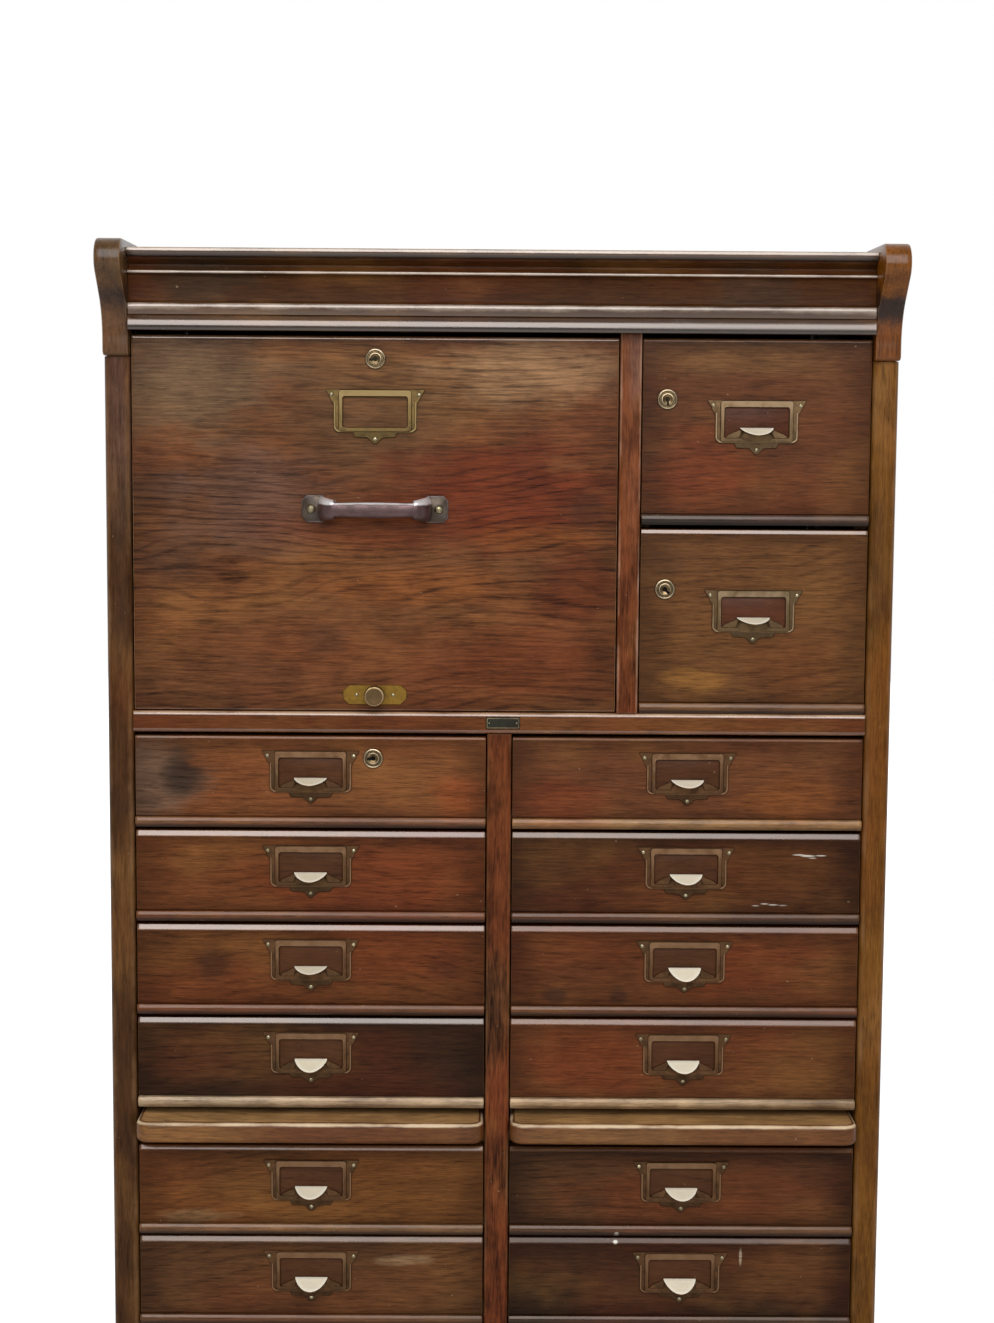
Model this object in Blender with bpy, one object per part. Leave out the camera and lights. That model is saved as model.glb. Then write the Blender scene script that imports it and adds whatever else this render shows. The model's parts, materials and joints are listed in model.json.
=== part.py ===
"""Antique oak filing cabinet with a tall file drawer, card drawers, flat-file drawers and reading slides.

Metres, +Z up, front towards -Y. The origin is under the middle of the whole object, on the floor.
"""

import math

import bmesh
import bpy
from mathutils import Matrix

# Clearances
SEAT_GAP = 0.0003          # between pieces that rest on or are fixed to each other
TURN_GAP = 0.0002          # round a plug or rod in its hole
FRONT_SIDE_GAP = 0.0012    # each side of a drawer front or slide in its opening
RUNNER_END_GAP = 0.002     # runner to the back of a drawer front, and to the back panel

# Case
CASE_WIDTH = 0.800
CASE_DEPTH = 0.443
SIDE_THICKNESS = 0.026
UPRIGHT_ROUNDING = 0.006
BACK_THICKNESS = 0.010
PANEL_RECESS = 0.007
SIDE_STILE_WIDTH = 0.062
SIDE_RAIL_WIDTH = 0.070
RUNNER_WIDTH = 0.012
RUNNER_HEIGHT = 0.0145

# Plinth and bottom board
PLINTH_HEIGHT = 0.100
PLINTH_PROJECTION = 0.006
PLINTH_WALL = 0.024
PLINTH_CHAMFER = 0.008
BOTTOM_BOARD_THICKNESS = 0.012

# Dividers and waist board
CENTRE_DIVIDER_THICKNESS = 0.025
UPPER_DIVIDER_THICKNESS = 0.022
WAIST_BOARD_THICKNESS = 0.022
FRAME_ROUNDING = 0.004

# Flat-file drawers and slides
ROWS_ABOVE_SLIDES = 4
ROWS_BELOW_SLIDES = 4
FLAT_FRONT_HEIGHT = 0.0835
BEAD_HEIGHT = 0.0105
BEAD_PROJECTION = 0.005
ROW_GAP = 0.0044
SLIDE_THICKNESS = 0.022
SLIDE_GAP_BELOW = 0.0116
SLIDE_OVERHANG = 0.024
SLIDE_CORNER_RADIUS = 0.014
SLIDE_LENGTH = 0.400
SLIDE_EDGE_ROUNDING = 0.004

# Drawer construction
FRONT_SETBACK = 0.005      # drawer face behind the face of the frame
FRONT_THICKNESS = 0.020
FRONT_TOP_ROUNDING = 0.006
BOX_WALL = 0.010
BOX_FLOOR = 0.006
BOX_SIDE_INSET = 0.004     # box side in from the end of the drawer front
BOX_BACK_GAP = 0.025       # behind a closed drawer box
FLAT_BOX_HEIGHT = 0.060
CARD_BOX_HEIGHT = 0.078
FILE_BOX_HEIGHT = 0.300

# Upper section
FILE_OPENING_WIDTH = 0.493
FILE_FRONT_HEIGHT = 0.379
FILE_FRONT_GAP = 0.0008    # under the tall front
CARD_ROW_GAP = 0.005
TOP_GAP = 0.008            # between the tall front and the cornice

# Cornice, top board and scroll brackets
CORNICE_HEIGHT = 0.078
CORNICE_PROJECTION = 0.016
CORNICE_THICKNESS = 0.020
NOSING_HEIGHT = 0.0085
HOLLOW_HEIGHT = 0.0135
SMALL_BEAD_HEIGHT = 0.0035
BAND_HEIGHT = 0.0110
BAND_PROJECTION = 0.0088
FRIEZE_PROJECTION = 0.0045
TORUS_HEIGHT = 0.0135
TOP_BOARD_THICKNESS = 0.018
SCROLL_HEIGHT = 0.114
SCROLL_PROJECTION = 0.052
SCROLL_FOOT_PROJECTION = 0.007
SCROLL_DEPTH = 0.060       # back from the face of the frame
SCROLL_RISE = 0.007        # above the cornice
SCROLL_HEAD_RADIUS = 0.020
SCROLL_HOLLOW_RADIUS = 0.058
SCROLL_NECK_SLOPE = 45     # degrees from upright
SCROLL_FOOT_ROUNDING = 0.005

# Label pulls and the label frame
PULL_BODY_WIDTH = 0.084
PULL_BODY_HEIGHT = 0.0435
PULL_EAR = 0.008           # reach of each ear past the body
PULL_EAR_HEIGHT = 0.017
PULL_TAIL = 0.0115
PULL_TAIL_WIDTH = 0.043
PULL_TAIL_STEP = 0.0045
PULL_TIP_WIDTH = 0.015
PULL_PLATE = 0.0018
PULL_RIM = 0.0035
PULL_RIM_BORDER = 0.0045
LABEL_WIDTH = 0.065
LABEL_HEIGHT = 0.0305
LABEL_TOP_BORDER = 0.0075
PULL_CORNER = 0.006
LIP_WIDTH = 0.034
LIP_REACH = 0.0215
LIP_THICKNESS = 0.0022
LIP_TILT = 20              # degrees down from level
LIP_RISE = 0.0155          # of the lip's root above the foot of the pull's body
CORBEL_FOOT_WIDTH = 0.058
CORBEL_HEAD_WIDTH = 0.026
CORBEL_REACH = 0.011       # of the corbel's head from the back of the plate

# Bar handle
HANDLE_FOOT_WIDTH = 0.024
HANDLE_FOOT_HEIGHT = 0.027
HANDLE_FOOT_THICKNESS = 0.004
HANDLE_SPACING = 0.124     # between the middles of the feet
HANDLE_REACH = 0.026       # drawer face to the bar's axis
HANDLE_BAR_LENGTH = 0.096
HANDLE_BAR_RADIUS = 0.0075
HANDLE_BAR_END_RADIUS = 0.006
HANDLE_ARM_THICKNESS = 0.009
HANDLE_ARM_HEIGHT = 0.015
HANDLE_FOOT_CLIP = 0.0055  # at the outer corners of a foot
HANDLE_DROP = 0.173        # below the top of the tall front

# Locks
LOCK_RADIUS = 0.0065
LOCK_PROUD = 0.0025
LOCK_CAM_LENGTH = 0.033
LOCK_CAM_HALF_WIDTH = 0.005
LOCK_CAM_THICKNESS = 0.003
LOCK_CAM_GAP = 0.001       # cam to the back of the drawer front
LOCK_MORTISE_CLEARANCE = 0.003
LOCK_DROP = 0.022          # below the top of the tall front and of the first flat front
FLAT_LOCK_OFFSET = 0.064   # right of the middle of the flat front
CARD_LOCK_INSET = 0.025    # from the left end of a card front
CARD_LOCK_DROP = 0.0605

# Label heights on the tall front
FILE_LABEL_DROP = 0.080

# Guide rod of the tall drawer
ROD_RADIUS = 0.004
ROD_SOCKET_DEPTH = 0.006   # into the back of the drawer box
ROD_HEIGHT = 0.0165        # above the foot of the tall front
KNOB_RADIUS = 0.0105
KNOB_LENGTH = 0.011
KNOB_NECK_RADIUS = 0.0065
KNOB_NECK_LENGTH = 0.004
KNOB_EDGE = 0.0013         # rounding of the knob's face
ROD_PLATE_WIDTH = 0.065
ROD_PLATE_HEIGHT = 0.020
ROD_PLATE_THICKNESS = 0.0015
ROD_PLATE_CLIP = 0.006

# Follower block of the tall drawer
FOLLOWER_WIDTH = 0.230
FOLLOWER_HEIGHT = 0.210
FOLLOWER_FOOT_DEPTH = 0.075
FOLLOWER_FOOT_HEIGHT = 0.028
FOLLOWER_PLATE = 0.014
FOLLOWER_LEAN = 0.030
FOLLOWER_BACK_GAP = 0.004

# Facets
ARC_STEPS = 4
ROUND_STEPS = 24
SMOOTH_LIMIT = 35          # degrees between facets that are shaded as one surface

# Places worked out from the sizes above
OVERALL_DEPTH = CASE_DEPTH + SCROLL_PROJECTION
FRAME_FACE = SCROLL_PROJECTION - OVERALL_DEPTH / 2
CASE_BACK = FRAME_FACE + CASE_DEPTH
BACK_FACE = CASE_BACK - BACK_THICKNESS
DRAWER_FACE = FRAME_FACE + FRONT_SETBACK
INNER_HALF_WIDTH = CASE_WIDTH / 2 - SIDE_THICKNESS

ROW_PITCH = FLAT_FRONT_HEIGHT + BEAD_HEIGHT + ROW_GAP
SLIDE_SPACE = ROW_GAP + SLIDE_THICKNESS + SLIDE_GAP_BELOW
SLIDE_BASE = PLINTH_HEIGHT + ROWS_BELOW_SLIDES * ROW_PITCH + SLIDE_GAP_BELOW
UPPER_ROWS_BASE = PLINTH_HEIGHT + ROWS_BELOW_SLIDES * ROW_PITCH + SLIDE_SPACE
WAIST_BASE = UPPER_ROWS_BASE + ROWS_ABOVE_SLIDES * ROW_PITCH + ROW_GAP
WAIST_TOP = WAIST_BASE + WAIST_BOARD_THICKNESS
FILE_FRONT_BASE = WAIST_TOP + FILE_FRONT_GAP
FILE_FRONT_TOP = FILE_FRONT_BASE + FILE_FRONT_HEIGHT
CORNICE_BASE = FILE_FRONT_TOP + TOP_GAP
CASE_TOP = CORNICE_BASE + CORNICE_HEIGHT
SCROLL_TOP = CASE_TOP + SCROLL_RISE
SCROLL_BASE = SCROLL_TOP - SCROLL_HEIGHT

FLAT_OPENING_WIDTH = INNER_HALF_WIDTH - CENTRE_DIVIDER_THICKNESS / 2
FLAT_COLUMN_X = (CENTRE_DIVIDER_THICKNESS + FLAT_OPENING_WIDTH) / 2
FLAT_FRONT_WIDTH = FLAT_OPENING_WIDTH - 2 * FRONT_SIDE_GAP
FILE_X = FILE_OPENING_WIDTH / 2 - INNER_HALF_WIDTH
FILE_FRONT_WIDTH = FILE_OPENING_WIDTH - 2 * FRONT_SIDE_GAP
UPPER_DIVIDER_LEFT = FILE_OPENING_WIDTH - INNER_HALF_WIDTH
UPPER_DIVIDER_RIGHT = UPPER_DIVIDER_LEFT + UPPER_DIVIDER_THICKNESS
CARD_OPENING_WIDTH = INNER_HALF_WIDTH - UPPER_DIVIDER_RIGHT
CARD_X = UPPER_DIVIDER_RIGHT + CARD_OPENING_WIDTH / 2
CARD_FRONT_WIDTH = CARD_OPENING_WIDTH - 2 * FRONT_SIDE_GAP
CARD_UNIT_HEIGHT = (FILE_FRONT_HEIGHT - CARD_ROW_GAP) / 2
CARD_LOCK_X = CARD_LOCK_INSET - CARD_FRONT_WIDTH / 2

RUNNER_START = DRAWER_FACE + FRONT_THICKNESS + RUNNER_END_GAP
RUNNER_END = BACK_FACE - RUNNER_END_GAP
FLAT_BOX_BASE = ROW_GAP + RUNNER_HEIGHT + SEAT_GAP
BOX_BACK = BACK_FACE - BOX_BACK_GAP - DRAWER_FACE
CAM_FACE = FRONT_THICKNESS + LOCK_CAM_GAP
PULL_HEIGHT = PULL_BODY_HEIGHT + PULL_TAIL


def finish(name, colour, roughness, metallic=0.0):
    """Plain surface of one kind of piece."""
    material = bpy.data.materials.new(name)
    material.use_nodes = True
    shader = material.node_tree.nodes["Principled BSDF"]
    shader.inputs["Base Color"].default_value = (*colour, 1.0)
    shader.inputs["Roughness"].default_value = roughness
    shader.inputs["Metallic"].default_value = metallic
    return material


def mesh_from(bm, name):
    """Closed mesh with its faces turned outwards."""
    bmesh.ops.recalc_face_normals(bm, faces=bm.faces)
    mesh = bpy.data.meshes.new(name)
    bm.to_mesh(mesh)
    bm.free()
    return mesh


def prism(outline, start, end, along):
    """Outline carried from start to end along one axis. Its points are the other two, in X, Y, Z order."""
    place = {
        "X": lambda u, v, w: (w, u, v),
        "Y": lambda u, v, w: (u, w, v),
        "Z": lambda u, v, w: (u, v, w),
    }[along]
    bm = bmesh.new()
    first = [bm.verts.new(place(u, v, start)) for u, v in outline]
    last = [bm.verts.new(place(u, v, end)) for u, v in outline]
    bm.faces.new(first)
    bm.faces.new(last)
    for i in range(len(outline)):
        j = (i + 1) % len(outline)
        bm.faces.new((first[i], first[j], last[j], last[i]))
    return mesh_from(bm, "prism")


def rectangle(low, high):
    """Corners of an upright rectangle."""
    return [low, (high[0], low[1]), high, (low[0], high[1])]


def box(low, high):
    """Block between two corners."""
    return prism(rectangle(low[:2], high[:2]), low[2], high[2], "Z")


def arc(centre, radius, start, end, steps=ARC_STEPS):
    """Points of an arc, angles in degrees."""
    points = []
    for i in range(steps + 1):
        angle = math.radians(start + (end - start) * i / steps)
        points.append((centre[0] + radius * math.cos(angle), centre[1] + radius * math.sin(angle)))
    return points


def circle(centre, radius, steps=ROUND_STEPS):
    """Points of a full circle."""
    return arc(centre, radius, 0, 360, steps)[:-1]


def turned(profile, steps=ROUND_STEPS):
    """Solid turned about Y. The profile runs along Y as (y, radius) from the front tip to the back tip."""
    bm = bmesh.new()
    rings = []
    for y, radius in profile:
        rings.append([bm.verts.new((x, y, z)) for x, z in circle((0, 0), radius, steps)])
    bm.faces.new(rings[0])
    bm.faces.new(rings[-1])
    for ring, following in zip(rings, rings[1:]):
        for i in range(steps):
            j = (i + 1) % steps
            bm.faces.new((ring[i], ring[j], following[j], following[i]))
    return mesh_from(bm, "turned")


def tray(low, high, wall, floor):
    """Open box with a floor: outside corners, wall and floor thickness."""
    bm = bmesh.new()
    outside = rectangle(low[:2], high[:2])
    inside = rectangle((low[0] + wall, low[1] + wall), (high[0] - wall, high[1] - wall))
    levels = ((outside, low[2]), (outside, high[2]), (inside, high[2]), (inside, low[2] + floor))
    rings = [[bm.verts.new((x, y, z)) for x, y in ring] for ring, z in levels]
    bm.faces.new(rings[0])
    bm.faces.new(rings[-1])
    for ring, following in zip(rings, rings[1:]):
        for i in range(4):
            j = (i + 1) % 4
            bm.faces.new((ring[i], ring[j], following[j], following[i]))
    return mesh_from(bm, "tray")


def shaped(base, added=(), cut=()):
    """Base mesh with the added meshes joined to it and the cut meshes taken out of it."""
    body = bpy.data.objects.new("shaping", base)
    bpy.context.collection.objects.link(body)
    helpers = []
    for operation, meshes in (("UNION", added), ("DIFFERENCE", cut)):
        for mesh in meshes:
            helper = bpy.data.objects.new("helper", mesh)
            bpy.context.collection.objects.link(helper)
            modifier = body.modifiers.new(operation, "BOOLEAN")
            modifier.operation = operation
            modifier.solver = "EXACT"
            modifier.object = helper
            helpers.append(helper)
    evaluated = body.evaluated_get(bpy.context.evaluated_depsgraph_get())
    mesh = bpy.data.meshes.new_from_object(evaluated)
    for helper in (body, *helpers):
        bpy.data.objects.remove(helper, do_unlink=True)
    return mesh


def piece(name, mesh, material, place=(0, 0, 0), parent=None, smooth=False):
    """Named sub-part at its place, which is relative to its parent."""
    if smooth:
        mesh.shade_smooth()
        mesh.set_sharp_from_angle(angle=math.radians(SMOOTH_LIMIT))
    if not mesh.materials:
        mesh.materials.append(material)
    part = bpy.data.objects.new(name, mesh)
    part.location = place
    part.parent = parent
    bpy.context.collection.objects.link(part)
    return part


def row_base(row):
    """Bottom of a flat-file row, counted from the top."""
    if row < ROWS_ABOVE_SLIDES:
        return UPPER_ROWS_BASE + (ROWS_ABOVE_SLIDES - 1 - row) * ROW_PITCH
    return PLINTH_HEIGHT + (ROWS_ABOVE_SLIDES + ROWS_BELOW_SLIDES - 1 - row) * ROW_PITCH


def card_base(row):
    """Foot of a card drawer's bead, counted from the top."""
    return FILE_FRONT_BASE + (1 - row) * (CARD_UNIT_HEIGHT + CARD_ROW_GAP)


def runner(wall_x, inward, top):
    """Strip on a wall that a drawer or slide runs on. It starts a little inside the wall."""
    bite = SIDE_THICKNESS / 4
    sides = sorted((wall_x - inward * bite, wall_x + inward * RUNNER_WIDTH))
    return box((sides[0], RUNNER_START, top - RUNNER_HEIGHT), (sides[1], RUNNER_END, top))


def flat_runners(wall_x, inward):
    """Runners of all the flat-file drawers and of the slide on one wall."""
    tops = [row_base(row) + ROW_GAP + RUNNER_HEIGHT for row in range(ROWS_ABOVE_SLIDES + ROWS_BELOW_SLIDES)]
    tops.append(SLIDE_BASE - SEAT_GAP)
    return [runner(wall_x, inward, top) for top in tops]


def upright_outline(left, right, front, back, rounding):
    """Plan of a board on edge whose front corners are rounded."""
    outline = arc((left + rounding, front + rounding), rounding, 180, 270)
    outline += arc((right - rounding, front + rounding), rounding, 270, 360)
    return outline + [(right, back), (left, back)]


def side(hand):
    """Case side with its upright, outer panels, runners and the notch for the scroll bracket."""
    outer = hand * CASE_WIDTH / 2
    inner = hand * INNER_HALF_WIDTH
    plan = upright_outline(min(outer, inner), max(outer, inner), FRAME_FACE, CASE_BACK, UPRIGHT_ROUNDING)
    board = prism(plan, PLINTH_HEIGHT + SEAT_GAP, CASE_TOP, "Z")
    runners = flat_runners(inner, -hand)
    if hand > 0:
        runners.append(runner(inner, -hand, card_base(0) + BEAD_HEIGHT))
    panel_front = FRAME_FACE + SIDE_STILE_WIDTH
    panel_back = CASE_BACK - SIDE_STILE_WIDTH
    panel_x = sorted((outer - hand * PANEL_RECESS, outer + hand * PANEL_RECESS))
    waist_middle = (WAIST_BASE + WAIST_TOP) / 2
    panel_heights = (
        (PLINTH_HEIGHT + SIDE_RAIL_WIDTH, waist_middle - SIDE_RAIL_WIDTH / 2),
        (waist_middle + SIDE_RAIL_WIDTH / 2, CASE_TOP - SIDE_RAIL_WIDTH),
    )
    cuts = [box((panel_x[0], panel_front, low), (panel_x[1], panel_back, high)) for low, high in panel_heights]
    notch_x = sorted((outer + hand * PANEL_RECESS, inner - hand * PANEL_RECESS))
    notch_front = FRAME_FACE - SCROLL_PROJECTION
    notch_back = FRAME_FACE + SCROLL_DEPTH + SEAT_GAP
    cuts.append(box((notch_x[0], notch_front, SCROLL_BASE - SEAT_GAP), (notch_x[1], notch_back, SCROLL_TOP)))
    return shaped(board, runners, cuts)


def scroll(hand):
    """Sawn bracket over the upright: swelling head, sloping neck that hollows into a plain foot."""
    outer = hand * CASE_WIDTH / 2
    inner = hand * INNER_HALF_WIDTH
    front = FRAME_FACE - SCROLL_PROJECTION
    foot = FRAME_FACE - SCROLL_FOOT_PROJECTION
    back = FRAME_FACE + SCROLL_DEPTH
    slope = math.radians(SCROLL_NECK_SLOPE)
    head = (front + SCROLL_HEAD_RADIUS, SCROLL_TOP - SCROLL_HEAD_RADIUS)
    outline = arc(head, SCROLL_HEAD_RADIUS, 90, 180)
    outline += arc(head, SCROLL_HEAD_RADIUS, 180, 180 + SCROLL_NECK_SLOPE)[1:]
    neck_x, neck_z = outline[-1]
    hollow_x = foot - SCROLL_HOLLOW_RADIUS
    hollow_run = hollow_x + SCROLL_HOLLOW_RADIUS * math.cos(slope) - neck_x
    hollow_z = neck_z - hollow_run / math.tan(slope) - SCROLL_HOLLOW_RADIUS * math.sin(slope)
    outline += arc((hollow_x, hollow_z), SCROLL_HOLLOW_RADIUS, SCROLL_NECK_SLOPE, 0)
    rounding = SCROLL_FOOT_ROUNDING
    outline += arc((foot + rounding, SCROLL_BASE + rounding), rounding, 180, 270)
    outline += [(back, SCROLL_BASE), (back, SCROLL_TOP)]
    return prism(outline, min(outer, inner), max(outer, inner), "X")


def half_round(centre_y, foot, height, projection):
    """Points of a moulding that swells forward between two heights, from its top to its foot."""
    points = []
    for i in range(2 * ARC_STEPS + 1):
        angle = math.pi * i / (2 * ARC_STEPS)
        points.append((
            centre_y - projection * math.sin(angle),
            foot + height / 2 + height / 2 * math.cos(angle),
        ))
    return points


def cornice():
    """Moulding between the brackets: nosing, hollow, small bead, frieze, small bead, band and torus."""
    back = FRAME_FACE + CORNICE_THICKNESS
    band = FRAME_FACE - BAND_PROJECTION
    frieze = FRAME_FACE - FRIEZE_PROJECTION
    nosing = NOSING_HEIGHT / 2
    nose = FRAME_FACE - CORNICE_PROJECTION + nosing
    hollow_foot = CASE_TOP - NOSING_HEIGHT - HOLLOW_HEIGHT
    band_top = CORNICE_BASE + TORUS_HEIGHT + BAND_HEIGHT
    outline = [(back, CASE_TOP)]
    outline += half_round(nose, CASE_TOP - NOSING_HEIGHT, NOSING_HEIGHT, nosing)
    outline += [(nose + nosing, hollow_foot + HOLLOW_HEIGHT), (FRAME_FACE, hollow_foot + HOLLOW_HEIGHT / 2)]
    outline += [(FRAME_FACE, hollow_foot)]
    outline += half_round(band, hollow_foot - SMALL_BEAD_HEIGHT, SMALL_BEAD_HEIGHT, SMALL_BEAD_HEIGHT / 2)
    outline += [(frieze, hollow_foot - 2 * SMALL_BEAD_HEIGHT), (frieze, band_top + SMALL_BEAD_HEIGHT)]
    outline += half_round(band, band_top - SMALL_BEAD_HEIGHT, SMALL_BEAD_HEIGHT, SMALL_BEAD_HEIGHT / 2)
    outline += half_round(band, CORNICE_BASE, TORUS_HEIGHT, TORUS_HEIGHT / 2)
    outline += [(back, CORNICE_BASE)]
    half = INNER_HALF_WIDTH - SEAT_GAP
    return prism(outline, -half, half, "X")


def top_board():
    """Board behind the cornice, between the sides and above the back panel."""
    half = INNER_HALF_WIDTH - SEAT_GAP
    front = FRAME_FACE + CORNICE_THICKNESS + SEAT_GAP
    return box((-half, front, CASE_TOP - TOP_BOARD_THICKNESS), (half, CASE_BACK, CASE_TOP))


def back_panel():
    """Panel between the sides, from the plinth to the top board."""
    half = INNER_HALF_WIDTH - SEAT_GAP
    top = CASE_TOP - TOP_BOARD_THICKNESS - SEAT_GAP
    return box((-half, BACK_FACE, PLINTH_HEIGHT + SEAT_GAP), (half, CASE_BACK, top))


def waist_board():
    """Full-depth board under the upper section, with a rounded edge and a mortise for the lock below it."""
    half = INNER_HALF_WIDTH - SEAT_GAP
    rounding = FRAME_ROUNDING
    outline = arc((FRAME_FACE + rounding, WAIST_TOP - rounding), rounding, 90, 180)
    outline += arc((FRAME_FACE + rounding, WAIST_BASE + rounding), rounding, 180, 270)
    outline += [(BACK_FACE - SEAT_GAP, WAIST_BASE), (BACK_FACE - SEAT_GAP, WAIST_TOP)]
    board = prism(outline, -half, half, "X")
    lock_x = -FLAT_COLUMN_X + FLAT_LOCK_OFFSET
    lock_z = row_base(0) + ROW_PITCH - LOCK_DROP
    cam_front = DRAWER_FACE + CAM_FACE
    mortise_top = lock_z + LOCK_CAM_LENGTH + LOCK_MORTISE_CLEARANCE
    mortise = box(
        (lock_x - LOCK_CAM_LENGTH, cam_front - LOCK_CAM_GAP, WAIST_BASE - WAIST_BOARD_THICKNESS / 2),
        (
            lock_x + LOCK_CAM_HALF_WIDTH + LOCK_MORTISE_CLEARANCE,
            cam_front + LOCK_CAM_THICKNESS + LOCK_MORTISE_CLEARANCE,
            mortise_top,
        ),
    )
    return shaped(board, cut=[mortise])


def upper_divider():
    """Upright board between the tall drawer and the card drawers, with mortises for their locks."""
    plan = upright_outline(
        UPPER_DIVIDER_LEFT, UPPER_DIVIDER_RIGHT, FRAME_FACE, BACK_FACE - SEAT_GAP, FRAME_ROUNDING
    )
    board = prism(plan, WAIST_TOP + SEAT_GAP, CORNICE_BASE - SEAT_GAP, "Z")
    added = [runner(UPPER_DIVIDER_RIGHT, 1, card_base(0) + BEAD_HEIGHT)]
    cam_front = DRAWER_FACE + CAM_FACE
    reach = CARD_X + CARD_LOCK_X - LOCK_CAM_LENGTH - LOCK_MORTISE_CLEARANCE
    cuts = []
    for row in range(2):
        lock_z = card_base(row) + CARD_UNIT_HEIGHT - CARD_LOCK_DROP
        cuts.append(box(
            (reach, cam_front - LOCK_CAM_GAP, lock_z - LOCK_CAM_LENGTH),
            (
                UPPER_DIVIDER_RIGHT + UPPER_DIVIDER_THICKNESS / 2,
                cam_front + LOCK_CAM_THICKNESS + LOCK_MORTISE_CLEARANCE,
                lock_z + LOCK_CAM_HALF_WIDTH + LOCK_MORTISE_CLEARANCE,
            ),
        ))
    return shaped(board, added, cuts)


def centre_divider():
    """Upright board between the two columns, with runners on both faces."""
    half = CENTRE_DIVIDER_THICKNESS / 2
    plan = upright_outline(-half, half, FRAME_FACE, BACK_FACE - SEAT_GAP, FRAME_ROUNDING)
    board = prism(plan, PLINTH_HEIGHT + SEAT_GAP, WAIST_BASE - SEAT_GAP, "Z")
    return shaped(board, flat_runners(half, 1) + flat_runners(-half, -1))


def plinth():
    """Open frame under the case with a chamfered top edge at the front and sides."""
    half = CASE_WIDTH / 2 + PLINTH_PROJECTION
    front = FRAME_FACE - PLINTH_PROJECTION
    chamfer = PLINTH_CHAMFER
    outside = rectangle((-half, front), (half, CASE_BACK))
    shoulder = rectangle((chamfer - half, front + chamfer), (half - chamfer, CASE_BACK))
    wall = PLINTH_WALL
    inside = rectangle((wall - half, front + wall), (half - wall, CASE_BACK - wall))
    levels = (
        (inside, 0),
        (outside, 0),
        (outside, PLINTH_HEIGHT - chamfer),
        (shoulder, PLINTH_HEIGHT),
        (inside, PLINTH_HEIGHT),
    )
    bm = bmesh.new()
    rings = [[bm.verts.new((x, y, z)) for x, y in ring] for ring, z in levels]
    for k in range(len(rings)):
        ring = rings[k]
        following = rings[(k + 1) % len(rings)]
        for i in range(4):
            j = (i + 1) % 4
            bm.faces.new((ring[i], ring[j], following[j], following[i]))
    return mesh_from(bm, "plinth")


def bottom_board():
    """Board inside the top of the plinth."""
    inset = PLINTH_WALL + SEAT_GAP
    half = CASE_WIDTH / 2 + PLINTH_PROJECTION - inset
    front = FRAME_FACE - PLINTH_PROJECTION + inset
    return box((-half, front, PLINTH_HEIGHT - BOTTOM_BOARD_THICKNESS), (half, CASE_BACK - inset, PLINTH_HEIGHT))


def front_board(width, foot, top, bead):
    """Drawer front across X: rounded top edge and, where it has one, a half-round bead along the foot."""
    outline = [(FRONT_THICKNESS, foot), (FRONT_THICKNESS, top)]
    outline += arc((FRONT_TOP_ROUNDING, top - FRONT_TOP_ROUNDING), FRONT_TOP_ROUNDING, 90, 180)
    if bead:
        outline += half_round(0, foot, BEAD_HEIGHT, BEAD_PROJECTION)
    else:
        outline.append((0, foot))
    return prism(outline, -width / 2, width / 2, "X")


def drawer(width, foot, top, bead, box_base, box_height, holes=()):
    """Drawer with its face at y = 0: front board, box behind it and holes through the front."""
    front = front_board(width, foot, top, bead)
    half = width / 2 - BOX_SIDE_INSET
    box_front = FRONT_THICKNESS - BOX_WALL - SEAT_GAP
    carcass = tray((-half, box_front, box_base), (half, BOX_BACK, box_base + box_height), BOX_WALL, BOX_FLOOR)
    cuts = []
    for x, z, radius, start, end in holes:
        cuts.append(prism(circle((x, z), radius), start, end, "Y"))
    return shaped(front, [carcass], cuts)


def lock_hole(x, z):
    """Hole through a drawer front for a lock plug."""
    return (x, z, LOCK_RADIUS + TURN_GAP, -FRONT_THICKNESS, 2 * FRONT_THICKNESS - BOX_WALL)


def slide():
    """Reading slide with its front edge at y = 0: rounded front corners and softened front edges."""
    half = FLAT_FRONT_WIDTH / 2
    radius = SLIDE_CORNER_RADIUS
    rounding = SLIDE_EDGE_ROUNDING
    outline = arc((radius - half, radius), radius, 180, 270)
    outline += arc((half - radius, radius), radius, 270, 360)
    outline += [(half, SLIDE_LENGTH), (-half, SLIDE_LENGTH)]
    inner = arc((radius - half, radius), radius - rounding, 180, 270)
    inner += arc((half - radius, radius), radius - rounding, 270, 360)
    inner += [(half - rounding, SLIDE_LENGTH), (rounding - half, SLIDE_LENGTH)]
    levels = (
        (inner, 0),
        (outline, rounding),
        (outline, SLIDE_THICKNESS - rounding),
        (inner, SLIDE_THICKNESS),
    )
    bm = bmesh.new()
    rings = [[bm.verts.new((x, y, z)) for x, y in ring] for ring, z in levels]
    bm.faces.new(rings[0])
    bm.faces.new(rings[-1])
    count = len(outline)
    for ring, following in zip(rings, rings[1:]):
        for i in range(count):
            j = (i + 1) % count
            bm.faces.new((ring[i], ring[j], following[j], following[i]))
    return mesh_from(bm, "slide")


def plate_outline():
    """Shape of a label pull's plate: ears at the top corners and a stepped tail. Its foot is z = 0."""
    half = PULL_BODY_WIDTH / 2
    ear = half + PULL_EAR
    foot = PULL_TAIL
    top = PULL_HEIGHT
    corner = PULL_CORNER
    step = foot - PULL_TAIL_STEP
    right = [(0, 0), (PULL_TIP_WIDTH / 2, step), (PULL_TAIL_WIDTH / 2, step), (PULL_TAIL_WIDTH / 2, foot)]
    right += arc((half - corner, foot + corner), corner, 270, 360)
    right += [(half, top - PULL_EAR_HEIGHT), (half + PULL_EAR / 2, top - PULL_EAR_HEIGHT / 2), (ear, top)]
    left = [(-x, z) for x, z in reversed(right[1:])]
    return right + left


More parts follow.
